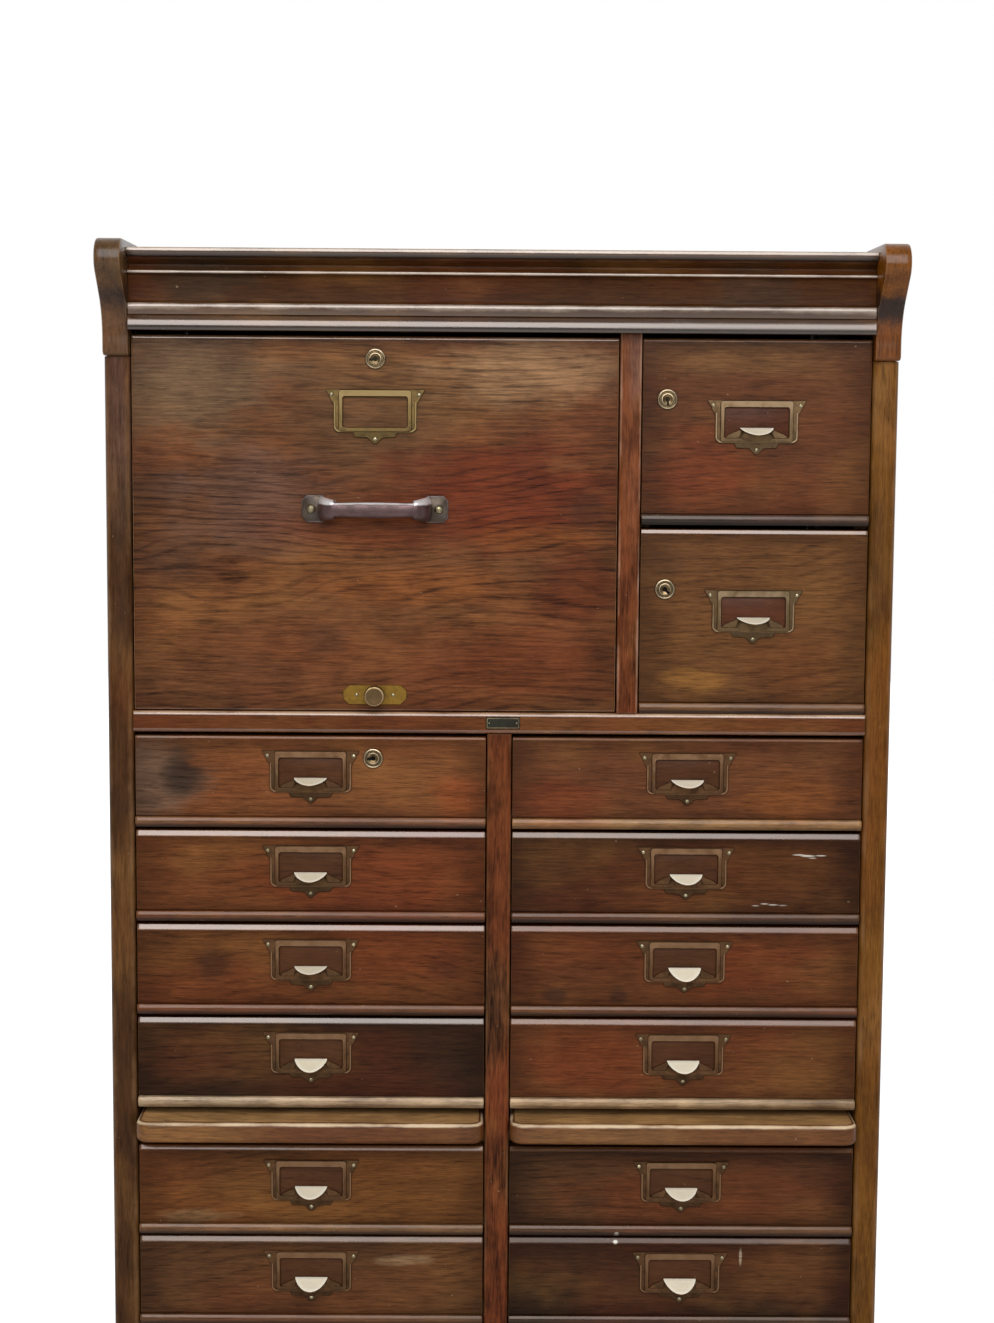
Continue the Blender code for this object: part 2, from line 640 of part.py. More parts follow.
def label_frame():
    """Plate with a raised rim round the label window. The back is y = 0 and the foot is z = 0."""
    plate = prism(plate_outline(), -PULL_PLATE, 0, "Y")
    half = LABEL_WIDTH / 2
    window_top = PULL_HEIGHT - LABEL_TOP_BORDER
    window_foot = window_top - LABEL_HEIGHT
    border = PULL_RIM_BORDER
    rim = prism(
        rectangle((-half - border, window_foot - border), (half + border, PULL_HEIGHT - SEAT_GAP)),
        -PULL_RIM, -PULL_PLATE / 2, "Y",
    )
    window = prism(rectangle((-half, window_foot), (half, window_top)), -2 * PULL_RIM, PULL_RIM, "Y")
    return plate, rim, window


def corbel(foot, lip_root):
    """Swelling under the lip: wide on the lower bar, narrowing up and forward into the lip."""
    back = PULL_PLATE / 2
    drop = math.tan(math.radians(LIP_TILT))
    head = lip_root - LIP_THICKNESS / 2
    bm = bmesh.new()
    rings = []
    for i in range(ARC_STEPS + 1):
        rise = i / ARC_STEPS
        half = CORBEL_HEAD_WIDTH / 2 + (CORBEL_FOOT_WIDTH - CORBEL_HEAD_WIDTH) / 2 * (1 - rise) ** 2
        depth = PULL_RIM + (CORBEL_REACH - PULL_RIM) * rise - back
        ring = []
        for across, forward in arc((0, 0), 1, 0, 180, 2 * ARC_STEPS):
            y = back + depth * forward
            top = head - (y - PULL_RIM) * drop
            ring.append(bm.verts.new((half * across, -y, foot + (top - foot) * rise)))
        rings.append(ring)
    bm.faces.new(rings[0])
    bm.faces.new(rings[-1])
    count = len(rings[0])
    for ring, following in zip(rings, rings[1:]):
        for i in range(count):
            j = (i + 1) % count
            bm.faces.new((ring[i], ring[j], following[j], following[i]))
    return mesh_from(bm, "corbel")


def label_pull():
    """Label frame with a tilted half-round finger lip and the corbel under it."""
    plate, rim, window = label_frame()
    lip_root = PULL_TAIL + LIP_RISE
    rim_foot = PULL_HEIGHT - LABEL_TOP_BORDER - LABEL_HEIGHT - PULL_RIM_BORDER
    half = LIP_WIDTH / 2
    disc = []
    for x, y in arc((0, 0), half, 180, 360, 2 * ARC_STEPS):
        disc.append((x, y * LIP_REACH / half))
    root = PULL_RIM - PULL_PLATE
    disc += [(half, root), (-half, root)]
    lip = prism(disc, -LIP_THICKNESS, 0, "Z")
    tilt = Matrix.Rotation(math.radians(LIP_TILT), 4, "X")
    lip.transform(Matrix.Translation((0, -PULL_RIM, lip_root)) @ tilt)
    frame = shaped(plate, [rim], [window])
    return shaped(frame, [corbel(rim_foot, lip_root), lip])


def bar_handle():
    """Two feet on the drawer face, arms that rise inwards from them and a slightly swelling bar between."""
    half = HANDLE_SPACING / 2
    height = HANDLE_FOOT_HEIGHT / 2
    width = HANDLE_FOOT_WIDTH / 2
    clip = HANDLE_FOOT_CLIP
    bar_half = HANDLE_BAR_LENGTH / 2
    bite = HANDLE_ARM_THICKNESS / 2
    arm_front = -HANDLE_REACH - HANDLE_BAR_END_RADIUS
    arm_back = HANDLE_BAR_END_RADIUS - HANDLE_REACH
    added = []
    for hand in (-1, 1):
        foot = [(-width, -height), (width - clip, -height), (width, clip - height)]
        foot += [(width, height - clip), (width - clip, height), (-width, height)]
        foot = [(hand * (half + x), z) for x, z in foot]
        added.append(prism(foot, -HANDLE_FOOT_THICKNESS, 0, "Y"))
        arm = [
            (half + bite, -HANDLE_FOOT_THICKNESS / 2),
            (bar_half + bite, arm_front),
            (bar_half - bite, arm_front),
            (bar_half - bite, arm_back),
            (bar_half, arm_back),
            (half - bite, -HANDLE_FOOT_THICKNESS / 2),
        ]
        arm = [(hand * x, y) for x, y in arm]
        added.append(prism(arm, -HANDLE_ARM_HEIGHT / 2, HANDLE_ARM_HEIGHT / 2, "Z"))
    profile = []
    for i in range(2 * ARC_STEPS + 1):
        along = -1 + i / ARC_STEPS
        swell = (HANDLE_BAR_RADIUS - HANDLE_BAR_END_RADIUS) * (1 - along * along)
        profile.append((along * bar_half, HANDLE_BAR_END_RADIUS + swell))
    bar = turned(profile, ROUND_STEPS // 2)
    bar.transform(Matrix.Translation((0, -HANDLE_REACH, 0)) @ Matrix.Rotation(math.radians(90), 4, "Z"))
    return shaped(bar, added)


def lock_plug(cam_direction):
    """Plug about Y with its face in front of y = 0 and the locking cam at the back end."""
    plug = turned([(-LOCK_PROUD, LOCK_RADIUS), (CAM_FACE + LOCK_CAM_THICKNESS / 2, LOCK_RADIUS)])
    cam = prism(
        rectangle((-LOCK_CAM_LENGTH, -LOCK_CAM_HALF_WIDTH), (LOCK_CAM_HALF_WIDTH, LOCK_CAM_HALF_WIDTH)),
        CAM_FACE, CAM_FACE + LOCK_CAM_THICKNESS, "Y",
    )
    cam.transform(Matrix.Rotation(cam_direction, 4, "Y"))
    return shaped(plug, [cam])


def guide_rod():
    """Knob in front of the plate and the rod through the drawer into its back."""
    neck_end = -ROD_PLATE_THICKNESS - SEAT_GAP
    knob_end = neck_end - KNOB_NECK_LENGTH
    front = knob_end - KNOB_LENGTH
    tip = BOX_BACK - BOX_WALL + ROD_SOCKET_DEPTH
    return turned([
        (front, KNOB_RADIUS - KNOB_EDGE),
        (front + KNOB_EDGE, KNOB_RADIUS),
        (knob_end, KNOB_RADIUS),
        (knob_end + SEAT_GAP, KNOB_NECK_RADIUS),
        (neck_end, KNOB_NECK_RADIUS),
        (neck_end + SEAT_GAP / 2, ROD_RADIUS),
        (tip, ROD_RADIUS),
    ])


def rod_plate():
    """Lozenge plate round the rod, its back at y = 0."""
    half = ROD_PLATE_WIDTH / 2
    height = ROD_PLATE_HEIGHT / 2
    clip = ROD_PLATE_CLIP
    outline = [(half, height - clip), (half - clip, height), (clip - half, height), (-half, height - clip)]
    outline += [(-half, clip - height), (clip - half, -height), (half - clip, -height), (half, clip - height)]
    plate = prism(outline, -ROD_PLATE_THICKNESS, 0, "Y")
    hole = prism(circle((0, 0), ROD_RADIUS + TURN_GAP), -KNOB_LENGTH, KNOB_LENGTH, "Y")
    return shaped(plate, cut=[hole])


def follower_block(rod_above_floor):
    """Leaning rest that slides on the drawer floor and is threaded by the rod. Its back foot is y = 0."""
    depth = FOLLOWER_FOOT_DEPTH
    plate = FOLLOWER_PLATE
    outline = [
        (0, 0),
        (0, FOLLOWER_FOOT_HEIGHT),
        (FOLLOWER_LEAN + plate - depth, FOLLOWER_FOOT_HEIGHT),
        (FOLLOWER_LEAN + plate - depth, FOLLOWER_FOOT_HEIGHT + plate),
        (FOLLOWER_LEAN + plate - depth + FOLLOWER_LEAN / 2, FOLLOWER_HEIGHT),
        (FOLLOWER_LEAN / 2 + FOLLOWER_LEAN - depth, FOLLOWER_HEIGHT),
        (-depth, FOLLOWER_FOOT_HEIGHT),
        (-depth, 0),
    ]
    block = prism(outline, -FOLLOWER_WIDTH / 2, FOLLOWER_WIDTH / 2, "X")
    hole = prism(circle((0, rod_above_floor), ROD_RADIUS + 2 * TURN_GAP), -2 * depth, depth, "Y")
    return shaped(block, cut=[hole])


def build_case(oak, oak_panel):
    """Fixed pieces of the case."""
    for hand, word in ((-1, "left"), (1, "right")):
        piece(word + "_side", side(hand), oak)
        piece(word + "_scroll", scroll(hand), oak, smooth=True)
    piece("back_panel", back_panel(), oak_panel)
    piece("top_board", top_board(), oak)
    piece("cornice", cornice(), oak, smooth=True)
    piece("waist_board", waist_board(), oak)
    piece("upper_divider", upper_divider(), oak)
    piece("centre_divider", centre_divider(), oak)
    piece("bottom_board", bottom_board(), oak_panel)
    piece("plinth", plinth(), oak)


def build_flat_drawers(oak, brass, pull_mesh):
    """Two columns of flat-file drawers. The first on the left has a lock."""
    foot = ROW_GAP
    top = ROW_PITCH
    lock_z = top - LOCK_DROP
    sizes = (FLAT_FRONT_WIDTH, foot, top, True, FLAT_BOX_BASE, FLAT_BOX_HEIGHT)
    plain = drawer(*sizes)
    locking = drawer(*sizes, [lock_hole(FLAT_LOCK_OFFSET, lock_z)])
    front_middle = foot + BEAD_HEIGHT + FLAT_FRONT_HEIGHT / 2
    for word, hand in (("left", -1), ("right", 1)):
        for row in range(ROWS_ABOVE_SLIDES + ROWS_BELOW_SLIDES):
            has_lock = word == "left" and row == 0
            name = f"{word}_drawer_{row + 1}"
            place = (hand * FLAT_COLUMN_X, DRAWER_FACE, row_base(row))
            body = piece(name, locking if has_lock else plain, oak, place)
            pull_place = (0, -SEAT_GAP, front_middle - PULL_HEIGHT / 2)
            piece(f"{word}_pull_{row + 1}", pull_mesh, brass, pull_place, body)
            if has_lock:
                piece("flat_lock_plug", lock_plug(0), brass, (FLAT_LOCK_OFFSET, 0, lock_z), body)


def build_card_drawers(oak, brass, pull_mesh):
    """Two lockable card drawers on the right of the upper section."""
    lock_z = CARD_UNIT_HEIGHT - CARD_LOCK_DROP
    front_middle = (CARD_UNIT_HEIGHT + BEAD_HEIGHT) / 2
    cam_down = math.radians(-90)
    for row, word in enumerate(("upper", "lower")):
        base = card_base(row)
        seat = BEAD_HEIGHT if row == 0 else WAIST_TOP - base
        mesh = drawer(
            CARD_FRONT_WIDTH, 0, CARD_UNIT_HEIGHT, True, seat + SEAT_GAP, CARD_BOX_HEIGHT,
            [lock_hole(CARD_LOCK_X, lock_z)],
        )
        body = piece(word + "_card_drawer", mesh, oak, (CARD_X, DRAWER_FACE, base))
        piece(word + "_card_pull", pull_mesh, brass, (0, -SEAT_GAP, front_middle - PULL_HEIGHT / 2), body)
        piece(word + "_card_lock_plug", lock_plug(cam_down), brass, (CARD_LOCK_X, 0, lock_z), body)


def build_file_drawer(oak, brass, bronze, rod_metal):
    """Tall vertical-file drawer with its lock, label frame, handle, guide rod and follower."""
    box_base = SEAT_GAP - FILE_FRONT_GAP
    lock_z = FILE_FRONT_HEIGHT - LOCK_DROP
    rod_hole = (0, ROD_HEIGHT, ROD_RADIUS + TURN_GAP, -FRONT_THICKNESS, BOX_BACK + BOX_WALL)
    mesh = drawer(
        FILE_FRONT_WIDTH, 0, FILE_FRONT_HEIGHT, False, box_base, FILE_BOX_HEIGHT,
        [lock_hole(0, lock_z), rod_hole],
    )
    body = piece("file_drawer", mesh, oak, (FILE_X, DRAWER_FACE, FILE_FRONT_BASE))
    plate, rim, window = label_frame()
    label_place = (0, -SEAT_GAP, FILE_FRONT_HEIGHT - FILE_LABEL_DROP - PULL_HEIGHT / 2)
    piece("file_label_frame", shaped(plate, [rim], [window]), brass, label_place, body)
    handle_place = (0, -SEAT_GAP, FILE_FRONT_HEIGHT - HANDLE_DROP)
    piece("bar_handle", bar_handle(), bronze, handle_place, body, smooth=True)
    piece("file_lock_plug", lock_plug(0), brass, (0, 0, lock_z), body)
    piece("rod_plate", rod_plate(), brass, (0, -SEAT_GAP, ROD_HEIGHT), body)
    piece("guide_rod", guide_rod(), rod_metal, (0, -SEAT_GAP, ROD_HEIGHT), body, smooth=True)
    floor = box_base + BOX_FLOOR + SEAT_GAP
    follower_place = (0, BOX_BACK - BOX_WALL - FOLLOWER_BACK_GAP, floor)
    piece("follower_block", follower_block(ROD_HEIGHT - floor), oak, follower_place, body)


def build_slides(oak):
    """Pull-out reading slides, one in each column."""
    mesh = slide()
    for word, hand in (("left", -1), ("right", 1)):
        place = (hand * FLAT_COLUMN_X, FRAME_FACE - SLIDE_OVERHANG, SLIDE_BASE)
        piece(word + "_slide", mesh, oak, place)


def main():
    for old in list(bpy.data.objects):
        bpy.data.objects.remove(old, do_unlink=True)
    case_oak = finish("case_oak", (0.12, 0.05, 0.025), 0.35)
    panel_oak = finish("panel_oak", (0.10, 0.05, 0.03), 0.5)
    drawer_oak = finish("drawer_oak", (0.15, 0.06, 0.025), 0.35)
    slide_oak = finish("slide_oak", (0.19, 0.09, 0.04), 0.35)
    aged_brass = finish("aged_brass", (0.30, 0.22, 0.10), 0.35, 1.0)
    dark_bronze = finish("dark_bronze", (0.17, 0.10, 0.09), 0.35, 1.0)
    rod_brass = finish("rod_brass", (0.22, 0.16, 0.08), 0.35, 1.0)
    pull_mesh = label_pull()
    build_case(case_oak, panel_oak)
    build_flat_drawers(drawer_oak, aged_brass, pull_mesh)
    build_card_drawers(drawer_oak, aged_brass, pull_mesh)
    build_file_drawer(drawer_oak, aged_brass, dark_bronze, rod_brass)
    build_slides(slide_oak)


main()
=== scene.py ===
import json
import math

import bmesh
import bpy
from mathutils import Matrix, Vector, geometry


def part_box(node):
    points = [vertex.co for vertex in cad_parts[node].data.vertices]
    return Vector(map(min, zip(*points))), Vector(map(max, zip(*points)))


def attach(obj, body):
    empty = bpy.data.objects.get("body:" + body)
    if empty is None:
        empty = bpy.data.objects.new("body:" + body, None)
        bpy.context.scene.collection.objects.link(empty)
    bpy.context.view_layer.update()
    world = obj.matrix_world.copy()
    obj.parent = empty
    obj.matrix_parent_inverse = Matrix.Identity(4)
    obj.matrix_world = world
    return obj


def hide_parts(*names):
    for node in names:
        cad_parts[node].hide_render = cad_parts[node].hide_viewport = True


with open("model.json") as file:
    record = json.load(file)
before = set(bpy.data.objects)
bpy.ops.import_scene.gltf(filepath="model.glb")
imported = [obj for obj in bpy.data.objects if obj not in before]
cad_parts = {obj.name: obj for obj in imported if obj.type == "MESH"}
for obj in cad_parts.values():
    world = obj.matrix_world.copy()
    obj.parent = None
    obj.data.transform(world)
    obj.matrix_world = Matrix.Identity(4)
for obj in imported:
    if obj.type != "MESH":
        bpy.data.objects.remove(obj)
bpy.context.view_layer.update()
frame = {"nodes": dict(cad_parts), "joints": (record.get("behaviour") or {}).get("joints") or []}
print("frame loaded:", len(frame["nodes"]), "nodes")

waistLow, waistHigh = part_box("waist_board")
waistMiddle = (waistLow.z + waistHigh.z) / 2
frameFace = waistLow.y                      # front of the case frame
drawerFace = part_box("file_drawer")[0].y     # front of the drawer boards
sides, rowCount = ("left", "right"), 8


# Outlines, each point is (u, v, wear), and negative wear is painted shade

def arcPoints(centre, radius, start, end, steps=6, wearAndShade=0.0):
    points = []
    for i in range(steps + 1):
        angle = math.radians(start + (end - start) * i / steps)
        rubAndShade = wearAndShade * math.sin(math.pi * i / steps)
        points.append((centre[0] + radius * math.cos(angle), centre[1] + radius * math.sin(angle), rubAndShade))
    return points


def swellArc(front, foot, height, turn, steps):
    # arc that swells forward, turn is how far it bends back above and below its foremost point
    upper, lower = turn
    radius = height / (math.sin(math.radians(upper)) + math.sin(math.radians(lower)))
    centre = (front + radius, foot + radius * math.sin(math.radians(lower)))
    return arcPoints(centre, radius, 180 - upper, 180 + lower, steps)


def roundedRectangle(low, high, radius, steps=5):
    corners = ((high[0] - radius, low[1] + radius, 270), (high[0] - radius, high[1] - radius, 0),
               (low[0] + radius, high[1] - radius, 90), (low[0] + radius, low[1] + radius, 180))
    points = []
    for x, z, start in corners:
        points += arcPoints((x, z), radius, start, start + 90, steps)
    return points


def circleSpots(radius, steps):
    turns = [2 * math.pi * i / steps for i in range(steps)]
    return [(radius * math.cos(turn), radius * math.sin(turn)) for turn in turns]


def wearAboveShadeBelow(points, start, hold, step):
    # lighter above, painted shade below
    return [(u, v, max(-1.0, start - max(0, i - hold) * step)) for i, (u, v, _) in enumerate(points)]


def signedArea(outline):
    total = 0.0
    for i in range(len(outline)):
        a, b = outline[i - 1], outline[i]
        total += a[0] * b[1] - b[0] * a[1]
    return total / 2


def insetOutline(outline, amount):
    turn = 1.0 if signedArea(outline) > 0 else -1.0
    moved = []
    count = len(outline)
    for i in range(count):
        here = Vector(outline[i][:2])
        before = (here - Vector(outline[i - 1][:2])).normalized()
        after = (Vector(outline[(i + 1) % count][:2]) - here).normalized()
        normal = Vector((-before.y, before.x)) + Vector((-after.y, after.x))
        if normal.length < 1e-6:
            moved.append(tuple(outline[i]))
            continue
        normal.normalize()
        reach = amount / max(0.4, normal.dot(Vector((-after.y, after.x))))    # 0.4 holds sharp corners back
        here = here + normal * reach * turn
        moved.append((here.x, here.y, outline[i][2]))
    return moved


# A pile gathers the boards of one piece before they become one mesh

def newPile():
    return {"points": [], "faces": [], "finish": [], "wearAndShade": []}


def movePile(pile, spot):
    pile["points"] = [tuple(Vector(point) + spot) for point in pile["points"]]


def newMesh():
    bm = bmesh.new()
    bm.verts.layers.float.new("wearAndShade")
    return bm


def addMesh(pile, bm, finish=0, place=None):
    bmesh.ops.recalc_face_normals(bm, faces=bm.faces)
    wearAndShade = bm.verts.layers.float["wearAndShade"]
    start = len(pile["points"])
    bm.verts.index_update()
    for vert in bm.verts:
        pile["points"].append(tuple(place @ vert.co if place else vert.co))
        pile["wearAndShade"].append(vert[wearAndShade])
    for face in bm.faces:
        pile["faces"].append([start + vert.index for vert in face.verts])
        pile["finish"].append(finish + face.material_index)
    bm.free()


def axisPoint(axis, along, u, v):
    return {"x": (along, u, v), "y": (u, along, v), "z": (u, v, along)}[axis]


def addRing(bm, points, wearAndShadeValues):
    layer = bm.verts.layers.float["wearAndShade"]
    ring = []
    for point, rubAndShade in zip(points, wearAndShadeValues):
        vert = bm.verts.new(point)
        vert[layer] = rubAndShade
        ring.append(vert)
    return ring


def levelRings(bm, levels, axis="y"):
    # a ring for each (outline, place along the axis, wear)
    return [addRing(bm, [axisPoint(axis, along, u, v) for u, v, _ in line], [rubAndShade] * len(line))
            for line, along, rubAndShade in levels]


def turnedRings(bm, profile, steps):
    # rings about the y axis, profile is (y, radius, wear)
    return [addRing(bm, [(x, y, z) for x, z in circleSpots(radius, steps)], [rubAndShade] * steps)
            for y, radius, rubAndShade in profile]


def bridgeRings(bm, rings, finish=0):
    for ring, following in zip(rings, rings[1:]):
        count = len(ring)
        for i in range(count):
            j = (i + 1) % count
            bm.faces.new((ring[i], ring[j], following[j], following[i])).material_index = finish


def closeTube(bm, rings):
    # skin over a row of rings, with a cap at each end
    caps = [bm.faces.new(ring) for ring in (rings[0], rings[-1])]
    bridgeRings(bm, rings)
    return caps


def sweepOutline(pile, outline, start, end, axis, soften=0.0007, edge=None):
    # a moulded length with softened ends, edge is the finish of its worn roundings and of those with painted shade
    ends = ((0.0, soften, 0.0), (0.3 * soften, 0.3 * soften, 1.0), (soften, 0.0, 0.0), (3 * soften, 0.0, 0.0))
    sections = [(start + along, inset, rubAndShade) for along, inset, rubAndShade in ends]
    sections += [(end - along, inset, rubAndShade) for along, inset, rubAndShade in reversed(ends)]
    bm = newMesh()
    rings = []
    for along, inset, rubAndShade in sections:
        moved = insetOutline(outline, inset) if inset else outline
        spots = [axisPoint(axis, along, u, v) for u, v, _ in moved]
        rings.append(addRing(bm, spots, [w if w < 0 else max(rubAndShade, w) for _, _, w in moved]))
    closeTube(bm, rings)
    if edge is not None:
        count, leastWearAndShade = len(outline), 0.02
        for k, face in enumerate(list(bm.faces)[2:]):    # after the two caps
            if max(abs(outline[k % count][2]), abs(outline[(k + 1) % count][2])) > leastWearAndShade:
                face.material_index = edge
    addMesh(pile, bm)


def softBox(pile, low, high, finish=0, soften=0.0008):
    # board with eased edges
    bm = newMesh()
    bmesh.ops.create_cube(bm, size=1.0)
    for vert in bm.verts:
        vert.co = [(low[i] + high[i]) / 2 + vert.co[i] * (high[i] - low[i]) for i in range(3)]
    bmesh.ops.bevel(bm, geom=list(bm.edges), offset=soften, segments=2, profile=0.5, affect="EDGES")
    layer = bm.verts.layers.float["wearAndShade"]
    flats = sorted(bm.faces, key=lambda face: face.calc_area())[-6:]
    onFlat = {vert for face in flats for vert in face.verts}
    for vert in bm.verts:
        vert[layer] = 0.0 if vert in onFlat else 1.0
    addMesh(pile, bm, finish)


def turnedForm(pile, profile, steps):
    bm = newMesh()
    closeTube(bm, turnedRings(bm, profile, steps))
    addMesh(pile, bm)


def cutPlate(pile, outline, hole, back, front, finish=0, soften=0.0004, place=None, rubAndShade=0.3):
    # flat plate in x and z with eased front edges and a window or keyway through it
    bm = newMesh()
    levels = ((outline, back, 0.0), (outline, front + soften, rubAndShade), (insetOutline(outline, soften), front, rubAndShade * 0.4))
    rings = levelRings(bm, levels)
    bridgeRings(bm, rings)
    holeFront, holeBack = levelRings(bm, ((hole, front, 0.0), (hole, back, 0.0))) if hole else ([], [])
    if hole:
        bridgeRings(bm, [holeFront, holeBack])
    for ring, holeRing in ((rings[2], holeFront), (rings[0], holeBack)):
        loops = [[Vector((vert.co.x, vert.co.z, 0)) for vert in part] for part in (ring, holeRing) if part]
        flat = ring + holeRing
        for a, b, c in geometry.tessellate_polygon(loops):
            if len({a, b, c}) == 3 and not bm.faces.get((flat[a], flat[b], flat[c])):
                bm.faces.new((flat[a], flat[b], flat[c]))
    addMesh(pile, bm, finish, place)


# Pieces

def newObject(name, data):
    holder = bpy.data.objects.new(name, data)
    bpy.context.scene.collection.objects.link(holder)
    return holder


def meshNow(holder):
    # plain mesh of an object with its modifiers
    return bpy.data.meshes.new_from_object(holder.evaluated_get(bpy.context.evaluated_depsgraph_get()))


def markFinishLines(mesh):
    # a crisp line wherever two finishes meet
    firstFinish, crisp = {}, set()
    for face in mesh.polygons:
        for key in face.edge_keys:
            if firstFinish.setdefault(key, face.material_index) != face.material_index:
                crisp.add(key)
    for edge in mesh.edges:
        if edge.key in crisp:
            edge.use_edge_sharp = True


def cutPockets(mesh, pockets):
    # mortises, each given by its low and high corner
    blocks = newPile()
    for low, high in pockets:
        softBox(blocks, low, high, 0, 0.0003)
    blockMesh = bpy.data.meshes.new("mortise_blocks")
    blockMesh.from_pydata(blocks["points"], [], blocks["faces"])
    board, cutter = newObject("uncut_board", mesh), newObject("mortise_blocks", blockMesh)
    modifier = board.modifiers.new("mortises", "BOOLEAN")
    modifier.operation, modifier.solver, modifier.object = "DIFFERENCE", "EXACT", cutter
    modifier.use_self = True    # runners stand a little into their board
    cut = meshNow(board)
    for holder in (board, cutter):
        bpy.data.objects.remove(holder, do_unlink=True)
    return cut


def ridePiece(name, mesh, body, crease, replaced=(), finishLines=False):
    mesh.name = name
    mesh.shade_smooth()
    mesh.set_sharp_from_angle(angle=math.radians(crease))
    if finishLines:
        markFinishLines(mesh)
    piece = newObject(name, mesh)
    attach(piece, body)
    if replaced:
        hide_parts(*replaced)


def makePiece(name, pile, finishes, body, replaced, crease=32, finishLines=False, pockets=()):
    mesh = bpy.data.meshes.new(name)
    mesh.from_pydata(pile["points"], [], pile["faces"])
    for finish in finishes:
        mesh.materials.append(finish)
    mesh.polygons.foreach_set("material_index", pile["finish"])
    mesh.attributes.new("wearAndShade", "FLOAT", "POINT").data.foreach_set("value", pile["wearAndShade"])
    if pockets:
        mesh = cutPockets(mesh, pockets)
    ridePiece(name, mesh, body, crease, replaced, finishLines)


# Finishes

def tone(red, green, blue):
    # screen colour to light, as the shader wants it
    light = []
    for value in (red, green, blue):
        share = value / 255
        light.append(share / 12.92 if share <= 0.04045 else ((share + 0.055) / 1.055) ** 2.4)
    return (*light, 1.0)


def put(tree, kind, inputs=None, **settings):
    node = tree.nodes.new(kind)
    for key, value in settings.items():
        setattr(node, key, value)
    for key, value in (inputs or {}).items():
        if isinstance(value, bpy.types.NodeSocket):
            tree.links.new(value, node.inputs[key])
        else:
            node.inputs[key].default_value = value
    return node


def sums(tree, operation, first, second=0.5):
    return put(tree, "ShaderNodeMath", {0: first, 1: second}, operation=operation).outputs[0]


def times(tree, first, second):
    return sums(tree, "MULTIPLY", first, second)


def plus(tree, first, second):
    return sums(tree, "ADD", first, second)


def minus(tree, first, second):
    return sums(tree, "SUBTRACT", first, second)


def blendTone(tree, share, first, second, mode="MIX"):
    node = put(tree, "ShaderNodeMix", {0: share, 6: first, 7: second}, data_type="RGBA", blend_type=mode)
    return node.outputs[2]


def layTone(tree, colour, mask, look, key):
    # a second tone over the first, as strong as the look says
    return blendTone(tree, times(tree, mask, look[key]), colour, tone(*look[key + "Tone"]))


def spread(tree, value, low, high, toLow=0.0, toHigh=1.0):
    inputs = {"Value": value, "From Min": low, "From Max": high, "To Min": toLow, "To Max": toHigh}
    return put(tree, "ShaderNodeMapRange", inputs, interpolation_type="SMOOTHSTEP").outputs[0]


def cloud(tree, vector, scale, detail=3.0, roughness=0.55, distortion=0.0):
    stretched = put(tree, "ShaderNodeMapping", {"Vector": vector, "Scale": scale}).outputs[0]
    inputs = {"Vector": stretched, "Scale": 1.0, "Detail": detail, "Roughness": roughness, "Distortion": distortion}
    return put(tree, "ShaderNodeTexNoise", inputs).outputs["Fac"]


def vectorSums(tree, operation, first, second=(0.0, 0.0, 0.0), output=0):
    return put(tree, "ShaderNodeVectorMath", {0: first, 1: second}, operation=operation).outputs[output]


def newFinish(name):
    finish = bpy.data.materials.new(name)
    finish.use_nodes = True
    return finish, finish.node_tree, finish.node_tree.nodes["Principled BSDF"]


def setSockets(shader, values):
    for key, value in values.items():
        shader.inputs[key].default_value = value


def addBump(tree, shader, height, strength, distance):
    bump = put(tree, "ShaderNodeBump", {"Strength": strength, "Distance": distance, "Height": height})
    tree.links.new(bump.outputs[0], shader.inputs["Normal"])


def paintedShadeShare(tree, rubAndShade, paintedShade):
    # painted shade lies where wear is negative
    return times(tree, sums(tree, "MAXIMUM", times(tree, rubAndShade, -1.0), 0.0), paintedShade)


def stain(at, half, share, shade, ragged=1.6):
    # soft patch, at and half are its middle and reach in x and z, or in x, y and z
    return {"at": at, "half": half, "share": share, "tone": shade, "ragged": ragged}


def patchShare(tree, vector, centre, half, ragged):
    deep = len(centre) == 3
    away = vectorSums(tree, "SUBTRACT", vector, (centre[0], centre[1] if deep else 0.0, centre[-1]))
    scaled = vectorSums(tree, "MULTIPLY", away, (1 / half[0], 1 / half[1] if deep else 0.0, 1 / half[-1]))
    distance = vectorSums(tree, "LENGTH", scaled, output="Value")
    return spread(tree, plus(tree, distance, ragged), 1.25, 0.35)    # soft from a third out to past its rim


borderSettings = {
    "sideFade": 0.045, "sideWander": 0.03, "levelWander": 0.012,
    "foot": (0.006, 0.026), "top": (0.002, 0.024),
}


def borderShare(tree, vector, border, ragged):
    # 1 at the edges of a front, 0 on its field
    low, high = border
    fade = borderSettings["sideFade"]
    parts = put(tree, "ShaderNodeSeparateXYZ", {0: vector})
    across = plus(tree, parts.outputs["X"], times(tree, ragged, borderSettings["sideWander"]))
    upward = plus(tree, parts.outputs["Z"], times(tree, ragged, borderSettings["levelWander"]))
    field = times(tree, spread(tree, across, low[0], low[0] + fade), spread(tree, across, high[0], high[0] - fade))
    field = times(tree, field, spread(tree, upward, *(low[2] + value for value in borderSettings["foot"])))
    field = times(tree, field, spread(tree, upward, *(high[2] - value for value in borderSettings["top"])))
    return minus(tree, 1.0, field)


